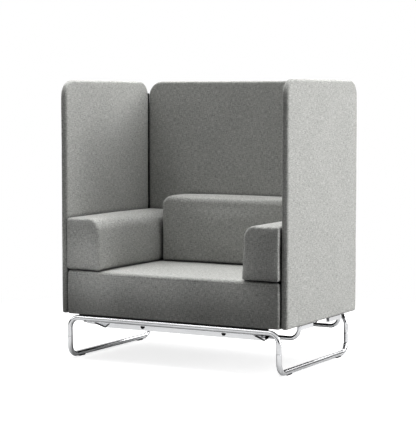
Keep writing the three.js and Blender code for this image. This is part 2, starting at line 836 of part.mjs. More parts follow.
// Glide: a strip under the runner with raised rims and a pin in the tube.
function glideParts(side, y) {
  const x = side * legX;
  const ys = [y - glideLength / 2, y + glideLength / 2];
  const half = glideWidth / 2;
  const strip = block([x - half, x + half], ys, [0, glideThickness + glideFlange]);
  const start = new THREE.Vector3(x, y - glideLength / 2 - overrun, runnerHeight);
  const tube = rod(tubeRadius + fit, start, northY, glideLength + overrun * 2, tubeSides * 2);
  const foot = new THREE.Vector3(x, y, glideThickness / 2);
  const rise = glideThickness / 2 + glidePinHeight;
  const pin = rod(glidePinRadius, foot, upZ, rise);
  const hole = rod(glidePinRadius + fit, foot, upZ, rise + fit);
  return { solid: strip.subtract(tube).add(pin), hole };
}

function crossTube(y, radius = crossRadius, wall = crossWall) {
  const ends = [
    new THREE.Vector3(-crossX, y, crossTop),
    new THREE.Vector3(-crossX, y, crossHeight),
    new THREE.Vector3(crossX, y, crossHeight),
    new THREE.Vector3(crossX, y, crossTop),
  ];
  return bentTube(ends, crossBend, radius, wall);
}

// Section of a tie plate in y and z, as the corners of its two faces. A flange under the rail
// turns down into a web, whose foot turns back to touch the cross tube from below. Distances
// run from the rail towards the cross tube.
function plateOutline() {
  const top = railHeight - tubeFlat - fit;
  const foot = new THREE.Vector2(plateSetback + plateThickness, plateFoot);
  const toCross = new THREE.Vector2(crossSetback, crossHeight).sub(foot);
  const room = crossRadius + fit;
  const turn = Math.asin(room / toCross.length());
  const down = new THREE.Vector2(0, -1);
  const rise = new THREE.Vector2(1, 0).rotateAround(new THREE.Vector2(), toCross.angle() - turn);
  const reach = Math.sqrt(toCross.lengthSq() - room * room) + plateLip;
  const end = foot.clone().addScaledVector(rise, reach);
  const below = (heading) => new THREE.Vector2(heading.y, -heading.x).multiplyScalar(plateThickness);
  const mitre = down.clone().add(rise).normalize();
  const footBelow = below(mitre).divideScalar(mitre.dot(down)).add(foot);
  const inner = [new THREE.Vector2(-plateLip, top), new THREE.Vector2(foot.x, top), foot, end];
  const low = top - plateThickness;
  const outer = [
    new THREE.Vector2(-plateLip, low), new THREE.Vector2(plateSetback, low),
    footBelow, below(rise).add(end),
  ];
  return { inner, outer };
}

// Tie plate at a rail, with a gusset at each end that joins its flange to its web. inwards is
// 1 for the front one and -1 for the rear one.
function tiePlate(y, inwards, rooms) {
  const { inner, outer } = plateOutline();
  const section = (points) => {
    return new THREE.Shape(points.map((point) => new THREE.Vector2(y + inwards * point.x, point.y)));
  };
  const sheet = prism(section([...inner, ...outer.toReversed()]), -plateHalf, plateHalf, sideFrame);
  const gusset = section([inner[0], inner[1], inner[2], outer[2], outer[0]]);
  const ends = [-plateHalf, plateHalf - plateThickness].map((x) => {
    return prism(gusset, x, x + plateThickness, sideFrame);
  });
  return without(ends.reduce((all, end) => all.add(end), sheet), rooms);
}

// Plug in the web of the front plate.
function plugParts(side) {
  const face = railY + plateSetback - fit;
  const start = new THREE.Vector3(side * plugX, face - plugFlangeHeight, plateFoot + plugRise);
  const rounding = plugFlangeHeight / 2;
  const length = plugFlangeHeight + plateThickness + plugBarrelLength;
  const profile = [
    [0, 0], [plugFlangeRadius - rounding, 0], [plugFlangeRadius, rounding],
    [plugFlangeRadius, plugFlangeHeight], [plugBarrelRadius, plugFlangeHeight],
    [plugBarrelRadius, length], [0, length],
  ];
  const room = rod(plugBarrelRadius + fit, start, northY, length + overrun, tubeSides);
  return { solid: turned(profile, start, northY, tubeSides), room };
}

// Strip on one half of a rail, under the seat.
function spacer(side, y, rooms) {
  const length = legX - spacerInset - spacerGap / 2;
  const x = side * (spacerGap + length) / 2;
  const xs = [x - length / 2, x + length / 2];
  const ys = [y - spacerWidth / 2, y + spacerWidth / 2];
  const body = block(xs, ys, [railHeight, seatBottom - fit]);
  const rail = tubeRoom(tubeRadius, new THREE.Vector3(x, y, railHeight), length + overrun);
  return without(body, [rail, ...rooms]);
}

const corners = [
  { name: 'front_left', side: -1, y: railY, inwards: 1 },
  { name: 'front_right', side: 1, y: railY, inwards: 1 },
  { name: 'rear_left', side: -1, y: rearRailY, inwards: -1 },
  { name: 'rear_right', side: 1, y: rearRailY, inwards: -1 },
];

const bolts = seatBolts();
const boltRooms = bolts.map((bolt) => bolt.room);

// Rails, runners and what stands on them
const plugs = [-1, 1].map(plugParts);
const glides = corners.map(({ side, y, inwards }) => glideParts(side, y + inwards * glideInset));
[['front', railY, 1, plugs], ['rear', rearRailY, -1, []]].forEach(([name, y, inwards, caps]) => {
  const rail = bentTube(railCorners(y), frameBend, tubeRadius, tubeWall);
  addPiece(name + '_frame_tube', without(rail, boltRooms), finishes.chrome);
  addPiece(name + '_cross_tube', crossTube(y + inwards * crossSetback), finishes.chrome);
  const rooms = caps.map((plug) => plug.room);
  addPiece(name + '_tie_plate', tiePlate(y, inwards, rooms), finishes.chrome);
});
[['left', -1], ['right', 1]].forEach(([name, side], i) => {
  const own = glides.filter((_, k) => corners[k].side === side);
  addPiece(name + '_runner_tube', runner(side, own), finishes.chrome);
  addPiece(name + '_plate_plug', plugs[i].solid, finishes.blackPlastic);
});
corners.forEach(({ name, side, y }, i) => {
  addPiece(name + '_glide', glides[i].solid, finishes.blackPlastic);
  addPiece(name + '_seat_spacer', spacer(side, y, boltRooms), finishes.blackPlastic);
  addPiece(name + '_seat_bolt', bolts[i].solid, finishes.blackSteel);
});

// Screens with their shoes, posts and screws
const shoes = corners.map(({ side, y, inwards }) => {
  return shoeParts(side, y + inwards * crossSetback, inwards);
});
corners.forEach(({ name }, i) => {
  addPiece(name + '_screen_shoe', shoes[i].shoe, finishes.chrome);
  addPiece(name + '_shoe_screw', shoes[i].screw.solid, finishes.blackSteel);
});
const posts = [-1, 1].map(cornerParts);
const armBolts = [-1, 1].map(armBolt);
const backBolts = cushionBolts();
[['left', -1], ['right', 1]].forEach(([name, side], i) => {
  addPiece(name + '_corner_post', posts[i].post, finishes.blackSteel);
  addPiece(name + '_post_screw_side', posts[i].intoSide.solid, finishes.blackSteel);
  addPiece(name + '_post_screw_back', posts[i].intoBack.solid, finishes.blackSteel);
  const shoeRooms = shoes.filter((_, k) => corners[k].side === side).map((one) => one.screw.room);
  addScreen(name + '_screen', {
    u: [screenFront, screenRear],
    levels: side < 0 ? [-halfWidth, -screenInner] : [screenInner, halfWidth],
    frame: screenFrames.side,
    rooms: [armBolts[i].room, posts[i].intoSide.room, ...shoeRooms],
  });
  addArm(name, side, armBolts[i]);
  addPiece(name + '_arm_bolt', armBolts[i].solid, finishes.blackSteel);
  addPiece(name + '_cushion_bolt', backBolts[i].solid, finishes.blackSteel);
});
addScreen('back_screen', {
  u: [-screenInner, screenInner],
  levels: [-backFace, -backScreenFront],
  frame: screenFrames.back,
  rooms: [...posts.map((corner) => corner.intoBack.room), ...backBolts.map((bolt) => bolt.room)],
});

addSeat(bolts);
addCushion(backBolts);

export default chair;
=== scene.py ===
import json
import math

import bpy
import numpy as np
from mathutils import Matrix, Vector, noise


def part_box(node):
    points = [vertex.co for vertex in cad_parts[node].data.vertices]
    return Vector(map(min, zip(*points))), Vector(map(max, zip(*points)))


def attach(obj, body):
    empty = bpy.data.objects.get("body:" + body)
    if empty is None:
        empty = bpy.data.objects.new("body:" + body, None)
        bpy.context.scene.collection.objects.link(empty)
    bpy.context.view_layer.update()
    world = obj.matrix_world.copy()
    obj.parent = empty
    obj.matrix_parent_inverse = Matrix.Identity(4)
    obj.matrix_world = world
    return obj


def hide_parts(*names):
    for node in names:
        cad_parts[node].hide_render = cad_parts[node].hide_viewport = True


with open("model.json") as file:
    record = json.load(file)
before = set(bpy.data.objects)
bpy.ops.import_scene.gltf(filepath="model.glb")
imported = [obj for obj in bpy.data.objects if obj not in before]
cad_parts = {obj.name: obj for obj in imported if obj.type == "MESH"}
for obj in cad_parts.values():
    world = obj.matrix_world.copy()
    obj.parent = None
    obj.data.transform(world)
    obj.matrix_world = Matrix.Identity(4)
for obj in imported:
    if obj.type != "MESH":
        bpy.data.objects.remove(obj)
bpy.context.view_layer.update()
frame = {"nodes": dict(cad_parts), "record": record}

# Camera: place, turn and lens that match the photograph (metres, degrees, pixels)
CAMERA_PLACE = (3.584, -6.496, 1.236)
CAMERA_TURN = 28.98
CAMERA_DIP = 4.52
FOCAL_PIXELS = 1553.6
PICTURE_HEIGHT = 443
SENSOR = 36

# Padded screens
SCREEN_TOP_RADIUS = 0.075
SCREEN_FOOT_RADIUS = 0.007
SCREEN_RIM = 0.011
SCREEN_CORNER_RIM = 0.006
SCREEN_CROWN = 0.0008
SCREEN_BULGE = 0.0006
SCREEN_CELL = 0.014

# Seat block
SEAT_FRONT_RIM = 0.016
SEAT_SIDE_RIM = 0.012
SEAT_FOOT_RIM = 0.006
SEAT_CORNER_RADIUS = 0.008
SEAT_CROWN = 0.007
SEAT_HEM = 0.036
HEM_DEPTH = 0.005
HEM_SOFTNESS = 0.006
SEAT_CELL = 0.0125

# Arms
ARM_SLOPE = 3.5
ARM_TOP_RADIUS = 0.055
ARM_RADIUS = 0.015
ARM_RIM = 0.011
ARM_OUTER_RIM = 0.006
ARM_CROWN = 0.002
ARM_CELL = 0.009

# Back cushion
CUSHION_TOP_RADIUS = 0.05
CUSHION_FOOT_RADIUS = 0.016
CUSHION_TOP_RIM = 0.03
CUSHION_FRONT_RIM = 0.012
CUSHION_RIM_DEPTH = 0.018
CUSHION_BACK_RIM = 0.008
CUSHION_CROWN = 0.009

# Sewing and padding in common; a cell is the size of a pad's mesh faces
SEAM_DRAW = 0.003
SIDE_BULGE = 0.002
SEAM_WIDTH = 0.0016
SEAM_DEPTH = 0.0011
CELL = 0.011
ARC_CELLS = 5
RIM_STEPS = 7
RADIUS_LOSS = 0.7  # the most that a rim takes of a corner's radius
LEAST_RADIUS = 0.002

# Tubes and plates
TUBE_RADIUS = 0.0125
CROSS_RADIUS = 0.010
CAD_TUBE_SIDES = 12
FRAME_BEND = 0.050
CROSS_BEND = 0.048
TUBE_SIDES = 48
BEND_STEPS = 18
END_CHAMFER = 0.0006
JOINT_GAP = 0.0003  # between a leg and its runner

ROOT = "root"
X, Y, Z = np.eye(3)
WHITE = (1, 1, 1, 1)


# Camera


def make_camera():
    """Camera at the photograph's place and angle."""
    data = bpy.data.cameras.new("camera")
    data.sensor_width = SENSOR
    data.lens = FOCAL_PIXELS / PICTURE_HEIGHT * SENSOR
    camera = bpy.data.objects.new("camera", data)
    camera.location = CAMERA_PLACE
    dip = math.radians(90 - CAMERA_DIP)
    camera.rotation_euler = (dip, 0, math.radians(CAMERA_TURN))
    bpy.context.scene.collection.objects.link(camera)
    bpy.context.scene.camera = camera


# Node graphs


class Graph:
    """Short calls that add shader nodes to one material or world."""

    def __init__(self, tree):
        self.tree = tree
        tree.nodes.clear()

    def add(self, kind, inputs=(), **settings):
        node = self.tree.nodes.new("ShaderNode" + kind)
        for name, value in settings.items():
            setattr(node, name, value)
        for name, value in dict(inputs).items():
            self.feed(node.inputs[name], value)
        return node

    def feed(self, socket, value):
        if isinstance(value, bpy.types.NodeSocket):
            self.tree.links.new(value, socket)
        else:
            socket.default_value = value

    def math(self, operation, first, second=0.0):
        node = self.add("Math", {0: first, 1: second}, operation=operation)
        return node.outputs[0]

    def mix(self, share, first, second):
        inputs = {"Factor": share, "A": first, "B": second}
        return self.add("Mix", inputs).outputs["Result"]

    def blend_colour(self, share, first, second):
        node = self.add("Mix", data_type="RGBA")
        sockets = {0: share, 6: first, 7: second}
        for place, value in sockets.items():
            self.feed(node.inputs[place], value)
        return node.outputs[2]

    def noise(self, vector, scale, detail=2.0, roughness=0.5):
        inputs = {"Vector": vector, "Scale": scale, "Detail": detail, "Roughness": roughness}
        return self.add("TexNoise", inputs).outputs["Fac"]

    def stretch(self, vector, scales):
        return self.add("Mapping", {"Vector": vector, "Scale": scales}).outputs[0]

    def mix_shaders(self, share, first, second):
        return self.add("MixShader", {0: share, 1: first.outputs[0], 2: second.outputs[0]})

    def spread(self, value, low, high):
        """Value from low to high becomes 0 to 1."""
        inputs = {"Value": value, "From Min": low, "From Max": high}
        return self.add("MapRange", inputs).outputs[0]


def new_material(name):
    """A material, its empty graph, and in it the place on the object in metres."""
    material = bpy.data.materials.new(name)
    material.use_nodes = True
    graph = Graph(material.node_tree)
    return material, graph, graph.add("TexCoord").outputs["Object"]


def put_out(graph, shader):
    graph.add("OutputMaterial", {"Surface": shader.outputs[0]})


def cloth_plane(graph, place):
    """Place on the cloth, in metres: across and up on the plane that the surface faces most."""
    place = graph.add("SeparateXYZ", {0: place}).outputs
    normal = graph.add("NewGeometry").outputs["Normal"]
    facing = graph.add("VectorMath", {0: normal}, operation="ABSOLUTE").outputs[0]
    away = graph.add("SeparateXYZ", {0: facing}).outputs
    beside = graph.math("MAXIMUM", away[1], away[2])
    sideways = graph.math("GREATER_THAN", away[0], beside)
    level = graph.math("MAXIMUM", away[0], away[1])
    upwards = graph.math("GREATER_THAN", away[2], level)
    across = graph.mix(sideways, place[0], place[1])
    along = graph.mix(upwards, place[2], place[1])
    return graph.add("CombineXYZ", {0: across, 1: along}).outputs[0]


# Materials

# The cloth: noise scales are per metre, shares say how much each part counts
YARN_PITCH = 0.0021
YARN_ALONG, YARN_ACROSS = 50, 290
YARN_SHARE = 1.15
MOTTLE_SCALE = 215.0
MOTTLE_SHARE = 0.8
CLOUD_SCALE = 7.0
CLOUD_SHARE = 0.12
TONE_SPREAD = (1.18, 2.03)
CLOTH_DARK = (0.208, 0.210, 0.198, 1)
CLOTH_LIGHT = (0.646, 0.649, 0.626, 1)
# Painted highlight: a lighter colour along the cover's sharp edges, where light catches the
# roundings
CLOTH_EDGE_HIGHLIGHT = (0.52, 0.52, 0.51, 1)
EDGE_HIGHLIGHT_SPREAD = (0.53, 0.62)
EDGE_HIGHLIGHT_SHARE = 0.4
SEAM_COLOUR = (0.12, 0.12, 0.117, 1)
SEAM_SHARE = 0.5
# Painted shade: near-black colour in the creases and where pads touch, found by ambient occlusion
CREASE_SHADE_COLOUR = (0.03, 0.03, 0.029, 1)
CREASE_SHADE_REACH = 0.028
CREASE_SHADE_SPREAD = (0.1, 0.85)
CREASE_SHADE_SAMPLES = 6
FUZZ_SCALE = 1900.0
FUZZ_HEIGHT = 0.8
TONE_HEIGHT = 1.2

# Each finish varies between two colours and between two roughnesses, and its relief is a
# bump's strength and distance
CLOTH_ROUGHNESS, CLOTH_RELIEF = (0.97, 0.86), (0.45, 0.0006)


def finish(material, graph, colour, roughness, height, relief, more):
    """Gives a new material its surface."""
    bump = graph.add("Bump", {"Strength": relief[0], "Distance": relief[1], "Height": height})
    inputs = {"Base Color": colour, "Roughness": roughness, "Normal": bump.outputs[0]}
    put_out(graph, graph.add("BsdfPrincipled", {**inputs, **more}))
    return material


def woven(graph, plane):
    """Height of a plain weave: yarns pass over and under one another."""
    turn = math.pi / YARN_PITCH
    sides = graph.add("SeparateXYZ", {0: plane}).outputs
    warp = graph.math("SINE", graph.math("MULTIPLY", sides[0], turn))
    weft = graph.math("SINE", graph.math("MULTIPLY", sides[1], turn))
    return graph.math("MULTIPLY", warp, weft)


def cloth_tone(graph, plane):
    """0 on the darkest yarns and 1 on the lightest."""
    weft, warp = (graph.noise(graph.stretch(plane, (*scales, 1)), 1, detail=2.5, roughness=0.6)
                  for scales in ((YARN_ALONG, YARN_ACROSS), (YARN_ACROSS, YARN_ALONG)))
    tone = graph.math("MULTIPLY", graph.math("ADD", weft, warp), YARN_SHARE)
    for scale, share in ((MOTTLE_SCALE, MOTTLE_SHARE), (CLOUD_SCALE, CLOUD_SHARE)):
        more = graph.math("MULTIPLY", graph.noise(plane, scale, detail=1), share)
        tone = graph.math("ADD", tone, more)
    return graph.spread(tone, *TONE_SPREAD)


def cloth_colour(graph, tone):
    """Colour of the yarns, with a painted highlight on the sharp edges, dark in the seams, and
    painted shade in the creases.
    """
    colour = graph.blend_colour(tone, CLOTH_DARK, CLOTH_LIGHT)
    seam = graph.add("Attribute", attribute_name="seam").outputs["Fac"]
    colour = graph.blend_colour(graph.math("MULTIPLY", seam, SEAM_SHARE), colour, SEAM_COLOUR)
    # Painted highlight: the sharp edges, found by pointiness, are coloured lighter
    edge = graph.add("NewGeometry").outputs["Pointiness"]
    edge_highlight = graph.math("MULTIPLY", graph.spread(edge, *EDGE_HIGHLIGHT_SPREAD), EDGE_HIGHLIGHT_SHARE)
    colour = graph.blend_colour(edge_highlight, colour, CLOTH_EDGE_HIGHLIGHT)
    # Painted shade: the colour darkens to near black where ambient occlusion finds creases and
    # contacts
    open_air = graph.add("AmbientOcclusion", {"Distance": CREASE_SHADE_REACH},
                         samples=CREASE_SHADE_SAMPLES).outputs["AO"]
    crease_shade = graph.math("SUBTRACT", 1.0, graph.spread(open_air, *CREASE_SHADE_SPREAD))
    return graph.blend_colour(crease_shade, colour, CREASE_SHADE_COLOUR)


def make_cloth():
    """Mottled wool upholstery: a plain weave of yarns that vary from dark to light."""
    material, graph, place = new_material("grey_wool_cloth")
    plane = cloth_plane(graph, place)
    tone = cloth_tone(graph, plane)
    fuzz = graph.noise(plane, FUZZ_SCALE, detail=1)
    height = graph.math("ADD", woven(graph, plane), graph.math("MULTIPLY", fuzz, FUZZ_HEIGHT))
    height = graph.math("ADD", height, graph.math("MULTIPLY", tone, TONE_HEIGHT))
    return finish(material, graph, cloth_colour(graph, tone), graph.mix(tone, *CLOTH_ROUGHNESS),
                  height, CLOTH_RELIEF, {"Specular IOR Level": 0.2, "Sheen Weight": 0.18,
                                         "Sheen Roughness": 0.45})


CHROME_COLOURS = (0.65, 0.655, 0.665, 1), (0.59, 0.595, 0.61, 1)
CHROME_ROUGHNESS, CHROME_RELIEF = (0.07, 0.13), (0.05, 0.0002)


def make_chrome():
    """Chromium plate over polished tube, with faint smears of the polishing."""
    material, graph, place = new_material("bright_chrome")
    smear = graph.noise(graph.stretch(place, (9, 9, 40)), 1, detail=3, roughness=0.6)
    fine = graph.noise(place, scale=160, roughness=0.6)
    share = graph.spread(smear, low=0.35, high=0.75)
    colour = graph.blend_colour(share, *CHROME_COLOURS)
    return finish(material, graph, colour, graph.mix(share, *CHROME_ROUGHNESS), fine,
                  CHROME_RELIEF, {"Metallic": 1.0})


COAT_COLOURS = (0.012, 0.012, 0.013, 1), (0.028, 0.028, 0.03, 1)
COAT_ROUGHNESS, COAT_RELIEF = (0.38, 0.55), (0.3, 0.0003)


def make_black_coat():
    """Black powder coat with an orange-peel skin."""
    material, graph, place = new_material("black_powder_coat")
    peel = graph.noise(place, scale=900)
    worn = graph.noise(place, scale=60, detail=3, roughness=0.6)
    worn = graph.spread(worn, low=0.35, high=0.8)
    colour = graph.blend_colour(worn, *COAT_COLOURS)
    return finish(material, graph, colour, graph.mix(worn, *COAT_ROUGHNESS), peel, COAT_RELIEF,
                  {"Specular IOR Level": 0.4})


PLASTIC_COLOURS = (0.006, 0.006, 0.006, 1), (0.016, 0.016, 0.017, 1)
PLASTIC_ROUGHNESS, PLASTIC_RELIEF = (0.5, 0.65), (0.35, 0.0002)


def make_black_plastic():
    """Moulded black plastic with a fine spark-eroded grain."""
    material, graph, place = new_material("black_moulded_plastic")
    grain = graph.noise(place, scale=2600, roughness=0.7)
    scuff = graph.noise(place, scale=90, detail=3, roughness=0.6)
    scuff = graph.spread(scuff, low=0.4, high=0.8)
    colour = graph.blend_colour(scuff, *PLASTIC_COLOURS)
    return finish(material, graph, colour, graph.mix(scuff, *PLASTIC_ROUGHNESS), grain,
                  PLASTIC_RELIEF, {"Specular IOR Level": 0.12})


LINING_COLOURS = (0.010, 0.010, 0.011, 1), (0.032, 0.032, 0.034, 1)
LINING_ROUGHNESS, LINING_RELIEF = (0.8, 0.95), (0.4, 0.0004)


def make_lining():
    """Thin black non-woven lining, with its pattern of bonded points."""
    material, graph, place = new_material("black_lining")
    points = graph.add("TexVoronoi", {"Vector": place, "Scale": 520, "Randomness": 0.15})
    bonded = graph.spread(points.outputs["Distance"], low=0.2, high=0.5)
    fibre = graph.noise(graph.stretch(place, (700, 120, 300)), 1, detail=3, roughness=0.6)
    colour, height = graph.blend_colour(fibre, *LINING_COLOURS), graph.math("ADD", bonded, fibre)
    return finish(material, graph, colour, graph.mix(bonded, *LINING_ROUGHNESS), height,
                  LINING_RELIEF, {"Specular IOR Level": 0.2})


PLYWOOD_COLOURS = (0.42, 0.27, 0.14, 1), (0.68, 0.52, 0.33, 1)
PLYWOOD_ROUGHNESS, PLYWOOD_RELIEF = (0.55, 0.75), (0.3, 0.0004)
GRAIN_SHARE, PLY_SHARE = 0.7, 0.3


def make_plywood():
    """Birch plywood, with its plies as bands and its grain along X."""
    material, graph, place = new_material("birch_plywood")
    grain = graph.noise(graph.stretch(place, (12, 260, 260)), 1, detail=4, roughness=0.6)
    ply = graph.add("TexWave", {"Vector": place, "Scale": 110, "Distortion": 0.6},
                    bands_direction="Z").outputs["Fac"]
    tone = graph.math("ADD", graph.math("MULTIPLY", grain, GRAIN_SHARE),
                      graph.math("MULTIPLY", ply, PLY_SHARE))
    colour = graph.blend_colour(tone, *PLYWOOD_COLOURS)
    return finish(material, graph, colour, graph.mix(grain, *PLYWOOD_ROUGHNESS), grain,
                  PLYWOOD_RELIEF, {"Specular IOR Level": 0.3})


# Meshes


def make_piece(name, points, faces, material, slot):
    """A smooth mesh that rides on the chair, with the given material as its finish; slot is not
    used.
    """
    mesh = bpy.data.meshes.new(name)
    mesh.from_pydata([tuple(p) for p in points], [], faces)
    mesh.polygons.foreach_set("use_smooth", [len(face) <= 4 for face in faces])
    mesh.materials.append(material)
    mesh.update()
    piece = bpy.data.objects.new(name, mesh)
    bpy.context.scene.collection.objects.link(piece)
    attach(piece, ROOT)
    return piece


def band_faces(levels, count, flip=False):
    """Faces between closed rings of points that follow one another."""
    faces = []
    for level in range(levels - 1):
        for i in range(count):
            a, b = level * count + i, level * count + (i + 1) % count
            faces.append((a, a + count, b + count, b) if flip else (a, b, b + count, a + count))
    return faces


def circle(sides, first, second):
    """Places round a unit circle, from the first direction towards the second."""
    angles = np.arange(sides) * 2 * math.pi / sides
    return np.cos(angles)[:, None] * first + np.sin(angles)[:, None] * second


def arc(middle, radius, start, end, steps):
    angles = np.linspace(start, end, steps + 1)
    return middle + radius * np.stack([np.cos(angles), np.sin(angles)], 1)


def side_points(corners, radii, k, cells, draw):
    """Points from the middle of corner k to the middle of the next, both included."""
    quarter = math.pi / 2
    following = (k + 1) % 4
    turn = k * quarter
    first = arc(corners[k], radii[k], turn - quarter / 2, turn, ARC_CELLS)
    last = arc(corners[following], radii[following], turn, turn + quarter / 2, ARC_CELLS)
    share = np.linspace(0, 1, cells + 1)[1:-1, None]
    straight = first[-1] + (last[0] - first[-1]) * share
    inward = -np.array([math.cos(turn), math.sin(turn)])
    straight = straight + inward * draw * np.sin(math.pi * share)
    return np.concatenate([first, straight, last])


def ring(u, v, radii, cells, draw):
    """Closed outline of a box with round corners, as the four sides' points in turn."""
    signs = np.array([(1, -1), (1, 1), (-1, 1), (-1, -1)])
    box = np.array([(u[1], v[0]), (u[1], v[1]), (u[0], v[1]), (u[0], v[0])])
    corners = box - signs * np.array(radii)[:, None]
    counts = [cells[1], cells[0], cells[1], cells[0]]
    sides = [side_points(corners, radii, k, counts[k], draw) for k in range(4)]
    return np.concatenate([side[:-1] for side in sides])


class Pad:
    """Padded form: an outline in u and v that is lofted along w, with round rims and crowned ends.

    A rim is (depth, sides, low, high, far): how far it reaches along w, and how far it draws
    in at low u, at low v, at high v and at high u.
    """

    def __init__(self, u, v, w, radii, low_rim, high_rim, place, crown=None, foot=None,
                 draw=SEAM_DRAW, bulge=SIDE_BULGE, cell=CELL, seams=("low", "high")):
        self.u, self.v, self.w, self.radii = u, v, w, radii
        self.low_rim, self.high_rim = low_rim, high_rim
        self.place, self.crown, self.foot = place, crown, foot
        self.draw, self.bulge, self.seams = draw, bulge, seams
        self.cells = [max(2, round((b - a) / cell)) for a, b in (u, v)]
        self.side_steps = max(4, round((w[1] - w[0]) / cell))

    def outline(self, rim, share, inset, draw):
        """One ring, drawn in by a share of a rim and by an inset."""
        _, sides, low, high, far = rim
        u = (self.u[0] + sides * share + inset, self.u[1] - far * share - inset)
        v = (self.v[0] + low * share + inset, self.v[1] - high * share - inset)
        radii = []
        for k, radius in enumerate(self.radii):
            beside = max(far if k in (0, 1) else sides, low if k in (0, 3) else high)
            loss = min(radius * RADIUS_LOSS, beside) * share
            radii.append(max(radius - loss, LEAST_RADIUS))
        return ring(u, v, radii, self.cells, draw)

    def levels(self):
        """Rings from the low end to the high end: (rim, share, w, inset, draw)."""
        rows = []
        for step in range(RIM_STEPS + 1):
            rows.append(self.rim_row(self.low_rim, step, self.w[0], 1))
        if "low" in self.seams:
            rows += self.seam_rows(self.low_rim, self.w[0] + self.low_rim[0], 1)
        rows += self.side_rows()
        if "high" in self.seams:
            rows += self.seam_rows(self.high_rim, self.w[1] - self.high_rim[0], -1)
        for step in range(RIM_STEPS, -1, -1):
            rows.append(self.rim_row(self.high_rim, step, self.w[1], -1))
        return rows

    def rim_row(self, rim, step, level, inwards):
        angle = step / RIM_STEPS * math.pi / 2
        height = level + inwards * rim[0] * (1 - math.cos(angle))
        return rim, 1 - math.sin(angle), height, self.bulge, self.draw

    def seam_rows(self, rim, level, inwards):
        """A sewn groove just inside a rim."""
        steps = (1, 2, 3) if inwards > 0 else (3, 2, 1)
        rows = []
        for step in steps:
            sunk = SEAM_DEPTH if step == 2 else 0.0
            height = level + inwards * step * SEAM_WIDTH / 2
            rows.append((rim, 0.0, height, self.bulge + sunk, self.draw))
        return rows

    def side_rows(self):
        """Rings between the seams, which swell in the middle."""
        low = self.w[0] + self.low_rim[0] + 2 * SEAM_WIDTH
        high = self.w[1] - self.high_rim[0] - 2 * SEAM_WIDTH
        rows = []
        for share in np.linspace(0, 1, self.side_steps + 1):
            swell = math.sin(math.pi * share)
            inset = self.bulge * (1 - swell)
            draw = self.draw * (1 - swell) - self.bulge * swell
            rows.append((self.low_rim, 0.0, low + (high - low) * share, inset, draw))
        return rows

    def cap(self, outline):
        """Inner points of an end, spread evenly between its four sides."""
        across, along = self.cells[0] + 2 * ARC_CELLS, self.cells[1] + 2 * ARC_CELLS
        right = outline[:along + 1]
        top = outline[along:along + across + 1][::-1]
        left = outline[along + across:2 * along + across + 1][::-1]
        low = np.concatenate([outline[2 * along + across:], outline[:1]])
        s = np.linspace(0, 1, across + 1)[:, None, None]
        t = np.linspace(0, 1, along + 1)[None, :, None]
        flat = (1 - t) * low[:, None] + t * top[:, None] + (1 - s) * left[None] + s * right[None]
        corners = ((1 - s) * (1 - t) * low[0] + s * (1 - t) * low[-1]
                   + (1 - s) * t * top[0] + s * t * top[-1])
        return flat - corners

    def cap_ids(self, first, base, across, along):
        """Point numbers of an end's grid, whose border is a ring that starts at first."""
        ids = np.zeros((across + 1, along + 1), int)
        ids[1:-1, 1:-1] = base + np.arange((across - 1) * (along - 1)).reshape(
            across - 1, along - 1)
        count = 2 * (across + along)
        ids[across, :] = first + np.arange(along + 1)
        ids[::-1, along] = first + along + np.arange(across + 1)
        ids[0, ::-1] = first + along + across + np.arange(along + 1)
        ids[:, 0] = first + (2 * along + across + np.arange(across + 1)) % count
        return ids

    def seam_shares(self, rows):
        """1 on a seam's groove and 0 elsewhere, ring by ring."""
        grooves = [row[3] > self.bulge + SEAM_DEPTH / 2 for row in rows]
        return np.repeat(np.array(grooves, float), 2 * (sum(self.cells) + 4 * ARC_CELLS))

    def end(self, outline, level, lift, first, base):
        """Inner points and faces of an end, whose border is the ring that starts at first."""
        across, along = self.cells[0] + 2 * ARC_CELLS, self.cells[1] + 2 * ARC_CELLS
        inner = self.cap(outline)[1:-1, 1:-1].reshape(-1, 2)
        height = np.full(len(inner), level)
        if lift is not None:
            height = height + lift(inner[:, 0], inner[:, 1])
        ids = self.cap_ids(first, base, across, along)
        faces = []
        for i in range(across):
            for j in range(along):
                face = (ids[i, j], ids[i + 1, j], ids[i + 1, j + 1], ids[i, j + 1])
                faces.append(tuple(int(n) for n in (face if first else face[::-1])))
        return self.place(inner[:, 0], inner[:, 1], height), faces

    def build(self):
        """Points and faces of the whole form, and how much of a seam each point is."""
        rows = self.levels()
        outlines = [self.outline(rim, share, inset, draw) for rim, share, _, inset, draw in rows]
        count = len(outlines[0])
        points = [self.place(o[:, 0], o[:, 1], np.full(count, row[2]))
                  for o, row in zip(outlines, rows)]
        faces = band_faces(len(rows), count)
        base = len(rows) * count
        for k, lift, first in ((0, self.foot, 0), (-1, self.crown, base - count)):
            inner, more = self.end(outlines[k], rows[k][2], lift, first, base)
            points.append(inner)
            faces += more
            base += len(inner)
        points = np.concatenate(points)
        seams = np.zeros(len(points))
        marks = self.seam_shares(rows)
        seams[:len(marks)] = marks
        return points, faces, seams


def along_plan(u, v, w):
    return np.stack([u, v, w], 1)


def along_side(u, v, w):
    return np.stack([w, u, v], 1)


def along_front(u, v, w):
    return np.stack([u, -w, v], 1)


def even_rim(size):
    return size, size, size, size, size


def between(low, high):
    """Middle of a span and half its length."""
    return (low + high) / 2, (high - low) / 2


def hump(place, middle, half):
    """1 in the middle of a span and nothing at its ends."""
    return np.clip(1 - ((place - middle) / half) ** 2, 0, None)


def ease(value, low, high):
    """0 below low, 1 above high, and smooth between."""
    share = np.clip((value - low) / (high - low), 0, 1)
    return share * share * (3 - 2 * share)


def crowned(height, across, along, soft=False):
    """A bulge: nothing at the ends of two spans, and that height in their middle."""
    def lift(a, b):
        if soft:
            return height * ease(hump(a, *across) * hump(b, *along), 0, 1)
        return height * hump(a, *across) * hump(b, *along)

    return lift


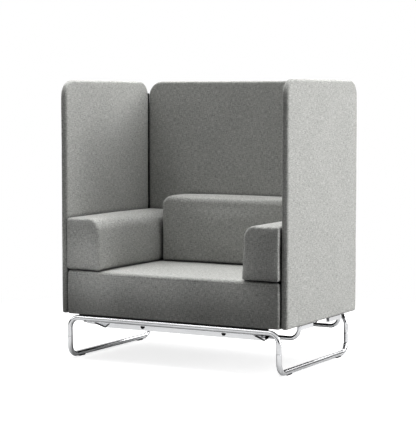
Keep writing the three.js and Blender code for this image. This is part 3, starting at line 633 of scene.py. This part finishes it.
def read_points(mesh):
    """Points and normals of a mesh's vertices."""
    count = len(mesh.vertices)
    points, normals = np.empty(count * 3, np.float32), np.empty(count * 3, np.float32)
    mesh.vertices.foreach_get("co", points)
    mesh.vertices.foreach_get("normal", normals)
    return points.reshape(-1, 3), normals.reshape(-1, 3)


# Uneven swelling of cloth over foam: size, depth and what is added to the pad's seed
RIPPLES = ((0.16, 0.0009, 0), (0.035, 0.00035, 5))
SEED_SHIFT = (3.7, 1.3, 7.1)


def ripple(piece, size, depth, seed):
    """Small uneven swelling along the normals."""
    mesh = piece.data
    shift = Vector([seed * step for step in SEED_SHIFT])
    points, normals = read_points(mesh)
    heights = [noise.noise(Vector(point) / size + shift) for point in points]
    points = points + normals * (np.array(heights) * depth)[:, None]
    mesh.vertices.foreach_set("co", points.astype(np.float32).ravel())
    mesh.update()


AIR_PRESSURE = 4
SIM_FRAMES = 20
SIM_QUALITY = 4
CLOTH_MASS = 0.3
SWELL_CAP = 0.0035
SWELL_SHARE = 90  # percentile of the movement that becomes the cap
FREE_SLOPE = 2.0  # how fast a surface comes free as it turns to a free way
FREE_START = 0.6


def free_share(piece, normals, free):
    """How far each point may move: 1 on the free sides, 0 elsewhere and on the seams."""
    seams = np.empty(len(normals), np.float32)
    piece.data.attributes["seam"].data.foreach_get("value", seams)
    facing = (normals @ np.array(free, np.float32).T).max(1)
    share = np.clip(facing * FREE_SLOPE - FREE_START, 0, 1)
    share[seams > 0.5] = 0
    return share


def simulate(piece, held):
    """Points of the piece after a cloth simulation under air pressure, with some held."""
    scene = bpy.context.scene
    group = piece.vertex_groups.new(name="held")
    group.add(held, 1.0, "REPLACE")
    cloth = piece.modifiers.new("cloth", "CLOTH")
    cloth.settings.quality = SIM_QUALITY
    cloth.settings.mass = CLOTH_MASS
    cloth.settings.use_pressure = True
    cloth.settings.uniform_pressure_force = AIR_PRESSURE
    cloth.settings.effector_weights.gravity = 0
    cloth.settings.vertex_group_mass = group.name
    cloth.point_cache.frame_end = SIM_FRAMES
    for step in range(1, SIM_FRAMES + 1):
        scene.frame_set(step)
    shape = piece.evaluated_get(bpy.context.evaluated_depsgraph_get()).data
    points = read_points(shape)[0]
    piece.modifiers.remove(cloth)
    piece.vertex_groups.remove(group)
    scene.frame_set(1)
    return points


def inflate(piece, free):
    """Swells the cover's free sides between its seams, by cloth simulation."""
    mesh = piece.data
    before, normals = read_points(mesh)
    share = free_share(piece, normals, free)
    move = (simulate(piece, np.nonzero(share == 0)[0].tolist()) - before) * share[:, None]
    size = np.linalg.norm(move, axis=1)
    move *= min(1.0, SWELL_CAP / np.percentile(size[share > 0], SWELL_SHARE))
    size = np.maximum(np.linalg.norm(move, axis=1), SWELL_CAP)
    move *= (SWELL_CAP / size)[:, None]
    mesh.vertices.foreach_set("co", (before + move).ravel())
    mesh.update()
    finer = piece.modifiers.new("finer", "SUBSURF")
    finer.levels = finer.render_levels = 1


def add_pad(name, pad, cloth, nodes, seed, free=()):
    """One upholstered piece that stands for its CAD cover and filling; free is the ways in
    which its cover may swell."""
    points, faces, seams = pad.build()
    piece = make_piece(name, points, faces, cloth, "upholstery")
    marks = piece.data.attributes.new("seam", "FLOAT", "POINT")
    marks.data.foreach_set("value", seams.astype(np.float32))
    for size, depth, more in RIPPLES:
        ripple(piece, size, depth, seed + more)
    if free:
        inflate(piece, free)
    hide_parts(*nodes)
    return piece


# Upholstered pieces


def add_screens(cloth):
    radii = (SCREEN_FOOT_RADIUS, SCREEN_TOP_RADIUS, SCREEN_TOP_RADIUS, SCREEN_FOOT_RADIUS)
    edge, corner = SCREEN_RIM, SCREEN_CORNER_RIM
    for seed, name in enumerate(("left", "right", "back")):
        low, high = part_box(name + "_screen_cover")
        if name == "back":
            u, w, place = (low.x, high.x), (-high.y, -low.y), along_front
            rim = (edge, corner, edge, edge, corner)
        else:
            u, w, place = (low.y, high.y), (low.x, high.x), along_side
            rim = (edge, edge, edge, edge, corner)
        v = (low.z, high.z)
        crown, foot = (crowned(height, between(*u), between(*v))
                       for height in (SCREEN_CROWN, -SCREEN_CROWN))
        pad = Pad(u, v, w, radii, rim, rim, place, crown=crown, foot=foot, draw=0.0,
                  bulge=SCREEN_BULGE, cell=SCREEN_CELL, seams=())
        nodes = (name + "_screen_cover", name + "_screen_board")
        add_pad(name + "_screen", pad, cloth, nodes, seed=seed)


def add_arms(cloth):
    lean = math.tan(math.radians(ARM_SLOPE))
    for seed, name, side in ((10, "left", -1), (11, "right", 1)):
        low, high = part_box(name + "_arm_cover")
        outer = max(abs(low.x), abs(high.x))
        width = high.x - low.x
        front_w = -low.y - ARM_CROWN
        foot_z = low.z

        def place(u, v, w, side=side, outer=outer, width=width, foot_z=foot_z):
            share = (outer - np.abs(u)) / width
            return along_front(u + side * share * lean * (v - foot_z), v, w)

        tops = (ARM_TOP_RADIUS, ARM_RADIUS)
        right_top, left_top = tops if side < 0 else tops[::-1]
        across = between(low.x + ARM_RIM, high.x - ARM_RIM)
        upwards = between(low.z + ARM_RIM, high.z - ARM_RIM)
        rim = [ARM_RIM] * 5
        rim[1 if side < 0 else 4] = ARM_OUTER_RIM
        pad = Pad((low.x, high.x), (low.z, high.z), (-high.y, front_w),
                  (ARM_RADIUS, right_top, left_top, ARM_RADIUS), even_rim(ARM_RIM), rim, place,
                  crown=crowned(ARM_CROWN, across, upwards), draw=SEAM_DRAW / 2, cell=ARM_CELL)
        nodes = (name + "_arm_cover", name + "_arm_foam")
        add_pad(name + "_arm", pad, cloth, nodes, seed=seed,
                free=(-Y, Z, -side * X))


def add_cushion(cloth):
    low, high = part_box("back_cushion_cover")
    side = CUSHION_FRONT_RIM
    rim = (CUSHION_RIM_DEPTH, side, side, CUSHION_TOP_RIM, side)
    drawn = SEAM_DRAW + SIDE_BULGE
    across = between(low.x + side + drawn, high.x - side - drawn)
    upwards = between(low.z + side + drawn, high.z - CUSHION_TOP_RIM - drawn)
    crown = crowned(CUSHION_CROWN, across, upwards, soft=True)
    radii = (CUSHION_FOOT_RADIUS, CUSHION_TOP_RADIUS, CUSHION_TOP_RADIUS, CUSHION_FOOT_RADIUS)
    pad = Pad((low.x, high.x), (low.z, high.z), (-high.y, -low.y - CUSHION_CROWN), radii,
              even_rim(CUSHION_BACK_RIM), rim, along_front, crown=crown, seams=("low",))
    nodes = ("back_cushion_cover", "back_cushion_foam")
    add_pad("back_cushion", pad, cloth, nodes, seed=20, free=(-Y, Z))


def add_seat(cloth):
    low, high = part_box("seat_cover")
    arm_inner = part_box("right_arm_cover")[0].x
    cushion_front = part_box("back_cushion_cover")[0].y
    lengthways = between(low.y + SEAT_FRONT_RIM + SEAM_DRAW + SIDE_BULGE, cushion_front)
    crown = crowned(SEAT_CROWN, (0, arm_inner), lengthways, soft=True)
    rim = (SEAT_FRONT_RIM, SEAT_SIDE_RIM, SEAT_FRONT_RIM, SEAT_SIDE_RIM, SEAT_SIDE_RIM)

    def foot(a, b):
        inside = np.minimum(np.minimum(a - low.x, high.x - a), np.minimum(b - low.y, high.y - b))
        return HEM_DEPTH * ease(inside, SEAT_HEM - HEM_SOFTNESS, SEAT_HEM + HEM_SOFTNESS)

    radii = (SEAT_CORNER_RADIUS,) * 4
    pad = Pad((low.x, high.x), (low.y, high.y), (low.z, high.z - SEAT_CROWN), radii,
              even_rim(SEAT_FOOT_RIM), rim, along_plan, crown=crown, foot=foot, cell=SEAT_CELL,
              seams=("high",))
    nodes = ("seat_cover", "seat_foam", "seat_webbing")
    add_pad("seat", pad, cloth, nodes, seed=30, free=(-Y, Z))


# Tubes


def bent_path(corners, radius):
    """Points and headings of straight runs joined by round bends."""
    corners = [np.array(c, float) for c in corners]
    points, headings = [corners[0]], []
    for before, corner, after in zip(corners, corners[1:], corners[2:]):
        into = (corner - before) / np.linalg.norm(corner - before)
        out = (after - corner) / np.linalg.norm(after - corner)
        if not headings:
            headings.append(into)
        middle = corner + (out - into) * radius
        for angle in np.linspace(0, math.pi / 2, BEND_STEPS + 1):
            points.append(middle - out * radius * math.cos(angle) + into * radius * math.sin(angle))
            headings.append(into * math.cos(angle) + out * math.sin(angle))
    last = corners[-1] - corners[-2]
    points.append(corners[-1])
    headings.append(last / np.linalg.norm(last))
    return np.array(points), np.array(headings)


def add_tube(name, corners, bend, radius, material, across):
    """A bent tube with chamfered closed ends; across is the direction square to its plane."""
    points, headings = bent_path(corners, bend)
    inner = radius - END_CHAMFER
    first, last = points[0], points[-1]
    steps = np.array([[1], [2]]) * END_CHAMFER
    spine = np.concatenate([[first], first + headings[0] * steps, points[1:-1],
                            last - headings[-1] * steps[::-1], [last]])
    ways = np.concatenate([headings[:1]] * 2 + [headings] + [headings[-1:]] * 2)
    sizes = [inner] + [radius] * (len(points) + 2) + [inner]
    rings = [middle + size * circle(TUBE_SIDES, np.cross(way, across), across)
             for middle, way, size in zip(spine, ways, sizes)]
    faces = band_faces(len(rings), TUBE_SIDES, flip=True)
    end = (len(rings) - 1) * TUBE_SIDES
    faces.append(tuple(range(TUBE_SIDES)))
    faces.append(tuple(range(end + TUBE_SIDES - 1, end - 1, -1)))
    piece = make_piece(name + "_bent", np.concatenate(rings), faces, material, "chrome")
    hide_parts(name)
    return piece


def flat_radius(radius):
    """How far a CAD tube's flat sides are from its middle."""
    return radius * math.cos(math.pi / CAD_TUBE_SIDES)


def middle_line(name, radius):
    """A rail's or cross tube's middle, from its box: x, y, z of the level run and of the ends."""
    low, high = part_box(name)
    flat = flat_radius(radius)
    x, y = high.x - flat, (low.y + high.y) / 2
    return (x, y, low.z + flat, high.z) if "cross" in name else (x, y, high.z - flat, low.z)


def add_tubes(chrome):
    for end in ("front", "rear"):
        for kind, bend, radius in (("frame", FRAME_BEND, TUBE_RADIUS),
                                   ("cross", CROSS_BEND, CROSS_RADIUS)):
            name = f"{end}_{kind}_tube"
            x, y, level, tip = middle_line(name, radius)
            corners = [(-x, y, tip), (-x, y, level), (x, y, level), (x, y, tip)]
            add_tube(name, corners, bend, radius, chrome, Y)
    leg, _, _, foot = middle_line("front_frame_tube", TUBE_RADIUS)
    flat, joint = flat_radius(TUBE_RADIUS), foot - JOINT_GAP
    for name, x in (("left_runner_tube", -leg), ("right_runner_tube", leg)):
        low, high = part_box(name)
        front, rear, level = low.y + flat, high.y - flat, low.z + flat
        corners = [(x, front, joint), (x, front, level), (x, rear, level), (x, rear, joint)]
        add_tube(name, corners, FRAME_BEND, TUBE_RADIUS, chrome, X)


# Small pieces


def bar(start, end, up, size, corner):
    """Points and faces of a straight bar with round edges: size is (across, upwards)."""
    start, end, up = (np.array(v, float) for v in (start, end, up))
    way = (end - start) / np.linalg.norm(end - start)
    across = np.cross(up, way)
    across /= np.linalg.norm(across)
    up = np.cross(way, across)
    rings = []
    for middle, shrink in ((start, corner), (start + way * corner, 0), (end - way * corner, 0),
                           (end, corner)):
        half = np.array(size) / 2 - shrink
        radius = max(corner - shrink, corner / 4)
        outline = ring((-half[0], half[0]), (-half[1], half[1]), (radius,) * 4, (1, 1), 0)
        rings.append(middle + outline[:, :1] * across + outline[:, 1:] * up)
    count = len(rings[0])
    faces = band_faces(len(rings), count)
    last = (len(rings) - 1) * count
    faces += [tuple(range(count))[::-1], tuple(range(last, last + count))]
    return np.concatenate(rings), faces


def join(parts):
    """One list of points and one of faces, from several."""
    points, faces, base = [], [], 0
    for more, sides in parts:
        points.append(more)
        faces += [tuple(base + i for i in side) for side in sides]
        base += len(more)
    return np.concatenate(points), faces


def turned(profile, start, way):
    """Points and faces of a turned solid: profile is (radius, distance along the way)."""
    start, way = np.array(start, float), np.array(way, float)
    side = np.cross(way, Z if abs(way[2]) < 0.5 else X)
    edge = circle(TUBE_SIDES, side, np.cross(way, side))
    points = np.concatenate([start + way * height + edge * radius for radius, height in profile])
    faces = band_faces(len(profile), TUBE_SIDES, flip=True)
    last = (len(profile) - 1) * TUBE_SIDES
    faces.append(tuple(range(TUBE_SIDES)))
    faces.append(tuple(range(last + TUBE_SIDES - 1, last - 1, -1)))
    return points, faces


# A plug's section from its dished face to its barrel's end: radius and distance, in metres
PLUG_SECTION = (
    (0.0012, 0.0010), (0.0040, 0.0008), (0.0068, 0.0002), (0.0086, 0.0), (0.0098, 0.0007),
    (0.0103, 0.0019), (0.0103, 0.0040), (0.0065, 0.0040), (0.0065, 0.0128), (0.0056, 0.0140),
)


def add_plugs(plastic):
    for side in ("left", "right"):
        node = side + "_plate_plug"
        low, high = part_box(node)
        start = ((low.x + high.x) / 2, low.y, (low.z + high.z) / 2)
        piece = make_piece(node + "_moulded", *turned(PLUG_SECTION, start, Y), plastic,
                           "black_plastic")
        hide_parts(node)


PLATE_THICKNESS = 0.003
PLATE_SETBACK = 0.109
TRIM_START = 0.016
TRIM_SIZE = (0.0052, 0.0070)
TRIM_CORNER = 0.0012
TRIM_RISE = 0.0020


def tie_plates():
    """Each tie plate: its end of the base, its way inwards, its rail's y and its box."""
    for end, inwards in (("front", 1), ("rear", -1)):
        rail_y = middle_line(end + "_frame_tube", TUBE_RADIUS)[1]
        yield (end, inwards, rail_y, *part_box(end + "_tie_plate"))


def add_trims(plastic):
    """Black guards over the sloping edges at the tie plates' ends."""
    bars = []
    for _, inwards, rail_y, low, high in tie_plates():
        lip, foot = high.z - PLATE_THICKNESS, low.z
        for x in (low.x + PLATE_THICKNESS / 2, high.x - PLATE_THICKNESS / 2):
            top = Vector((x, rail_y, lip + TRIM_RISE))
            bottom = Vector((x, rail_y + inwards * PLATE_SETBACK, foot + TRIM_RISE))
            start = top.lerp(bottom, TRIM_START / PLATE_SETBACK)
            bars.append(bar(start, bottom, Z, TRIM_SIZE, TRIM_CORNER))
    make_piece("plate_edge_guards", *join(bars), plastic, "black_plastic")


SEAL_SIZE = 0.007
SEAL_TOP = 0.060  # below the screens' top
SEAL_FOOT = 0.012


def add_seals(plastic):
    """Black seals in the joints between the side screens and the back screen."""
    bars = []
    low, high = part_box("back_screen_cover")
    for x in (low.x, high.x):
        y = low.y - SEAL_SIZE / 4
        foot, top = (x, y, low.z + SEAL_FOOT), (x, y, high.z - SEAL_TOP)
        bars.append(bar(foot, top, Y, (SEAL_SIZE, SEAL_SIZE), SEAL_SIZE / 4))
    make_piece("screen_joint_seals", *join(bars), plastic, "black_plastic")


LINING_CELLS = (110, 74)
LINING_SAG = 0.0016
LINING_THICKNESS = 0.0006
SLACK_SCALE = 9
SLACK_LEVEL = 4.0
SLACK_REACH = 0.2  # how far in from the edge the lining is at its slackest
SLACK_BASE, SLACK_SWING = 0.7, 0.6
STAPLE_PITCH = 0.045
STAPLE_SIZE = (0.0013, 0.0008)
STAPLE_HALF = 0.0055
STAPLE_INSET = 0.009


def staple_rows(low, high):
    """Middles and directions of the staples round the lining's edge."""
    spots = []
    for start, end, steady, across in ((low.x, high.x, (low.y, high.y), X),
                                       (low.y, high.y, (low.x, high.x), Y)):
        count = round((end - start) / STAPLE_PITCH)
        for run in start + (np.arange(count) + 0.5) / count * (end - start):
            for other, inwards in zip(steady, (1, -1)):
                beside = other + inwards * STAPLE_INSET
                middle = (run, beside) if across is X else (beside, run)
                spots.append((middle, across))
    return spots


def add_lining(lining, coat):
    """Thin lining stapled under the seat frame, slightly slack between its staples."""
    low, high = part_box("seat_lining")
    xs, ys = (np.linspace(a, b, n + 1) for a, b, n in
              ((low.x, high.x, LINING_CELLS[0]), (low.y, high.y, LINING_CELLS[1])))
    x, y = (grid.ravel() for grid in np.meshgrid(xs, ys, indexing="ij"))
    inside = np.minimum(np.minimum(x - low.x, high.x - x), np.minimum(y - low.y, high.y - y))
    slack = [noise.noise(Vector((a * SLACK_SCALE, b * SLACK_SCALE, SLACK_LEVEL)))
             for a, b in zip(x, y)]
    sag = LINING_SAG * ease(inside, 0, SLACK_REACH) * (SLACK_BASE + SLACK_SWING * np.array(slack))
    points = np.stack([x, y, low.z + LINING_THICKNESS - sag], 1)
    row = LINING_CELLS[1] + 1
    faces = [(i * row + j, i * row + j + 1, (i + 1) * row + j + 1, (i + 1) * row + j)
             for i in range(LINING_CELLS[0]) for j in range(LINING_CELLS[1])]
    cloth = make_piece("seat_lining_cloth", points, faces, lining, "lining")
    solid = cloth.modifiers.new("thickness", "SOLIDIFY")
    solid.thickness = LINING_THICKNESS
    solid.offset = 0
    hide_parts("seat_lining")
    bars = []
    level = low.z + LINING_THICKNESS / 2 - STAPLE_SIZE[1]
    for (a, b), way in staple_rows(low, high):
        middle = np.array((a, b, level))
        bars.append(bar(middle - way * STAPLE_HALF, middle + way * STAPLE_HALF, Z, STAPLE_SIZE,
                        STAPLE_SIZE[1] / 4))
    staples = make_piece("lining_staples", *join(bars), coat, "black_steel")


WELD_RADIUS = 0.0022
WELD_HALF = 0.020
WELD_PITCH = 0.0024
WELD_SIDES = 10
WELD_STEPS = 4  # rings in each ripple
WELD_RIPPLE = 0.1
WELD_TAPER = 6
WELD_TIP = 0.02
WELD_PLACES = (-0.38, -0.19, 0.0, 0.19, 0.38)


def weld(middle):
    """A short bead of overlapping ripples along X."""
    count = round(2 * WELD_HALF / WELD_PITCH) * WELD_STEPS
    runs = np.linspace(-1, 1, count + 1)
    ends = np.sqrt(np.clip(1 - runs ** WELD_TAPER, WELD_TIP, None))
    rise = (np.arange(count + 1) % WELD_STEPS) / (WELD_STEPS - 1)
    sizes = WELD_RADIUS * ends * (1 - WELD_RIPPLE + WELD_RIPPLE * rise)
    edge = circle(WELD_SIDES, Y, Z)
    rings = [np.array(middle) + X * run * WELD_HALF + edge * size
             for run, size in zip(runs, sizes)]
    faces = band_faces(count + 1, WELD_SIDES)
    last = count * WELD_SIDES
    faces += [tuple(range(WELD_SIDES))[::-1], tuple(range(last, last + WELD_SIDES))]
    return np.concatenate(rings), faces


def add_welds(chrome):
    """Weld beads where the tie plates meet the rails and the cross tubes."""
    beads = []
    for end, inwards, rail_y, low, high in tie_plates():
        cross_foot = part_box(end + "_cross_tube")[0].z
        tip = high.y if inwards > 0 else low.y
        for x in WELD_PLACES:
            beads.append(weld((x, rail_y + inwards * TUBE_RADIUS / 2, high.z + WELD_RADIUS / 3)))
            beads.append(weld((x, tip, cross_foot - WELD_RADIUS / 3)))
    make_piece("plate_welds", *join(beads), chrome, "chrome")


# How far each kind of CAD node that stays in view is rounded, in metres
ROUNDINGS = {
    "tie_plate": 0.0008, "screen_shoe": 0.0030, "corner_post": 0.0015, "seat_spacer": 0.0010,
    "glide": 0.0007, "bolt": 0.0005, "screw": 0.0004, "board": 0.0010, "seat_frame": 0.0010,
}
ROUND_STEPS = 3
ROUND_ANGLE = 40
WELD_DISTANCE = 0.00001


def round_edges():
    """Rounds the sharp edges of the CAD nodes that stay, by modifiers alone."""
    for name, node in frame["nodes"].items():
        sizes = [size for kind, size in ROUNDINGS.items() if kind in name]
        if not sizes:
            continue
        node.modifiers.new("joined", "WELD").merge_threshold = WELD_DISTANCE
        bevel = node.modifiers.new("round", "BEVEL")
        bevel.width = sizes[0]
        bevel.segments = ROUND_STEPS
        bevel.limit_method = "ANGLE"
        bevel.angle_limit = math.radians(ROUND_ANGLE)
        node.modifiers.new("smooth", "WEIGHTED_NORMAL")


# Stage


def ray_kinds(graph):
    """1 for rays from the camera, and 1 for reflected or refracted ones."""
    path = graph.add("LightPath").outputs
    gloss = graph.math("MAXIMUM", path["Is Glossy Ray"], path["Is Transmission Ray"])
    return path["Is Camera Ray"], gloss


FLOOR_SIZE = 60
FLOOR_GREY = (0.10, 0.10, 0.10, 1)  # what the floor throws back on the chair
# Glow and grey near the chair and glow far off, as the camera sees the floor and in gloss
FLOOR_SEEN = (0.80, 0.50, 1.0)
FLOOR_MIRRORED = (0.03, 0.76, 0.95)
CLEAR_DISTANCE = (0.9, 2.4)


def floor_distance(graph, place):
    """0 round the chair and 1 where the floor is as white as the background."""
    sides = graph.add("SeparateXYZ", {0: place}).outputs
    flat = graph.add("CombineXYZ", {0: sides[0], 1: sides[1]}).outputs[0]
    length = graph.add("VectorMath", {0: flat}, operation="LENGTH").outputs["Value"]
    inputs = {"Value": length, "From Min": CLEAR_DISTANCE[0], "From Max": CLEAR_DISTANCE[1]}
    return graph.add("MapRange", inputs, interpolation_type="SMOOTHSTEP").outputs[0]


def floor_look(graph, away, glow, grey, far_glow):
    """Soft shadow on a glowing floor near the chair, which turns into an even glow far off."""
    lit = graph.add("BsdfDiffuse", {"Color": (grey, grey, grey, 1)})
    low = graph.add("Emission", {"Color": WHITE, "Strength": glow})
    near = graph.add("AddShader", {0: lit.outputs[0], 1: low.outputs[0]})
    far = graph.add("Emission", {"Color": WHITE, "Strength": far_glow})
    return graph.mix_shaders(away, near, far)


def make_floor():
    """Plain pale floor: it shows white with a soft shadow, and throws little light back."""
    bpy.ops.mesh.primitive_plane_add(size=FLOOR_SIZE)
    floor = bpy.context.object
    floor.name = "floor"
    material, graph, place = new_material("pale_floor")
    away = floor_distance(graph, place)
    shown = floor_look(graph, away, *FLOOR_SEEN)
    mirrored = floor_look(graph, away, *FLOOR_MIRRORED)
    plain = graph.add("BsdfDiffuse", {"Color": FLOOR_GREY})
    camera, gloss = ray_kinds(graph)
    seen = graph.mix_shaders(camera, plain, shown)
    put_out(graph, graph.mix_shaders(gloss, seen, mirrored))
    floor.data.materials.append(material)


FLAG_RADIUS = 8.5
FLAG_HEIGHT = 2.2
FLAG_STEPS = 24
FLAG_COLOUR = (0.02, 0.02, 0.02, 1)


def make_flags():
    """Low black flags round the set, which only gloss shows, so that the chrome has dark
    edges."""
    points, faces = [], []
    for turn in np.linspace(0, 2 * math.pi, FLAG_STEPS + 1):
        x, y = FLAG_RADIUS * math.cos(turn), FLAG_RADIUS * math.sin(turn)
        points += [(x, y, 0.0), (x, y, FLAG_HEIGHT)]
    for a in range(0, len(points) - 2, 2):
        faces.append((a, a + 2, a + 3, a + 1))
    mesh = bpy.data.meshes.new("flags")
    mesh.from_pydata(points, [], faces)
    material, graph, _ = new_material("black_flag")
    put_out(graph, graph.add("BsdfDiffuse", {"Color": FLAG_COLOUR}))
    mesh.materials.append(material)
    flags = bpy.data.objects.new("flags", mesh)
    bpy.context.scene.collection.objects.link(flags)
    flags.visible_camera = False
    flags.visible_diffuse = False
    flags.visible_shadow = False


def make_world():
    """White to the camera and in gloss, and no light for the rest."""
    world = bpy.data.worlds.new("world")
    bpy.context.scene.world = world
    world.use_nodes = True
    graph = Graph(world.node_tree)
    dark = graph.add("Background", {"Color": WHITE, "Strength": 0.0})
    white = graph.add("Background", {"Color": WHITE, "Strength": 1.0})
    mixed = graph.mix_shaders(graph.math("MAXIMUM", *ray_kinds(graph)), dark, white)
    graph.add("OutputWorld", {"Surface": mixed.outputs[0]})


# Each softbox: name, turn from +X and height as angles, and power in watts
SOFTBOXES = (
    ("right_softbox", 0, 35, 85),
    ("back_right_softbox", 45, 35, 88),
    ("back_softbox", 70, 35, 162),
    ("high_front_softbox", -130, 62, 46),
    ("high_back_softbox", 100, 62, 270),
    ("high_corner_softbox", 140, 62, 80),
    ("high_left_softbox", 180, 62, 140),
    ("top_softbox", 0, 88, 165),
    ("low_right_softbox", 0, 8, 285),
    ("left_front_softbox", -157, 20, 38),
)
SOFTBOX_SIZE = 3.0
SOFTBOX_DISTANCE = 6.5
AIM = (0.0, 0.0, 0.60)

# Each spot: name, turn and height as angles, what it is aimed at, its distance, half its cone,
# its radius and its power
SPOTS = (
    ("front_spot", -105, 12, (-0.40, -0.39, 1.05), 4.0, 15, 0.35, 26),
    ("left_spot", -145, 35, (-0.40, -0.39, 1.05), 4.0, 15, 0.35, 40),
    ("arm_front_spot", -130, 8, (-0.54, -0.40, 0.60), 4.0, 3.0, 0.10, 45),
    ("seat_front_spot", -115, 35, (-0.10, -0.39, 0.48), 4.0, 3.4, 0.10, 120),
    ("seat_left_spot", -115, 25, (-0.42, -0.39, 0.45), 4.0, 2.8, 0.10, 250),
    ("seat_right_spot", -115, 25, (0.30, -0.39, 0.50), 4.0, 2.8, 0.10, 135),
    ("seat_top_spot", -90, 75, (-0.10, 0.0, 0.45), 5.0, 8, 0.5, 60),
)


def place_light(data, aim, turn, height, distance):
    """Puts a light at that turn, height and distance from what it is aimed at."""
    turn, height = math.radians(turn), math.radians(height)
    level = math.cos(height)
    way = Vector((math.cos(turn) * level, math.sin(turn) * level, math.sin(height)))
    light = bpy.data.objects.new(data.name, data)
    light.location = Vector(aim) + way * distance
    light.rotation_euler = way.to_track_quat("Z", "Y").to_euler()
    bpy.context.scene.collection.objects.link(light)


def make_lights():
    for name, turn, height, power in SOFTBOXES:
        data = bpy.data.lights.new(name, "AREA")
        data.shape = "SQUARE"
        data.size = SOFTBOX_SIZE
        data.energy = power
        place_light(data, AIM, turn, height, SOFTBOX_DISTANCE)
    for name, turn, height, aim, distance, cone, radius, power in SPOTS:
        data = bpy.data.lights.new(name, "SPOT")
        data.energy = power
        data.shadow_soft_size = radius
        data.spot_size = math.radians(2 * cone)
        data.spot_blend = 1.0
        place_light(data, aim, turn, height, distance)


def main():
    make_camera()
    make_floor()
    make_flags()
    make_world()
    make_lights()
    bpy.context.scene.view_settings.view_transform = "Standard"
    cloth, chrome = make_cloth(), make_chrome()
    coat, plastic = make_black_coat(), make_black_plastic()
    lining, plywood = make_lining(), make_plywood()
    finishes = {"chrome": chrome, "black_steel": coat, "black_plastic": plastic,
                "lining": lining, "plywood": plywood, "upholstery": cloth, "foam": cloth,
                "webbing": lining}
    for row in frame["record"]["subparts"]:
        materials = frame["nodes"][row["node"]].data.materials
        materials.clear()
        materials.append(finishes[row["material_slot"]])
    add_screens(cloth)
    add_arms(cloth)
    add_cushion(cloth)
    add_seat(cloth)
    add_tubes(chrome)
    add_plugs(plastic)
    add_trims(plastic)
    add_seals(plastic)
    add_lining(lining, coat)
    add_welds(chrome)
    round_edges()


main()
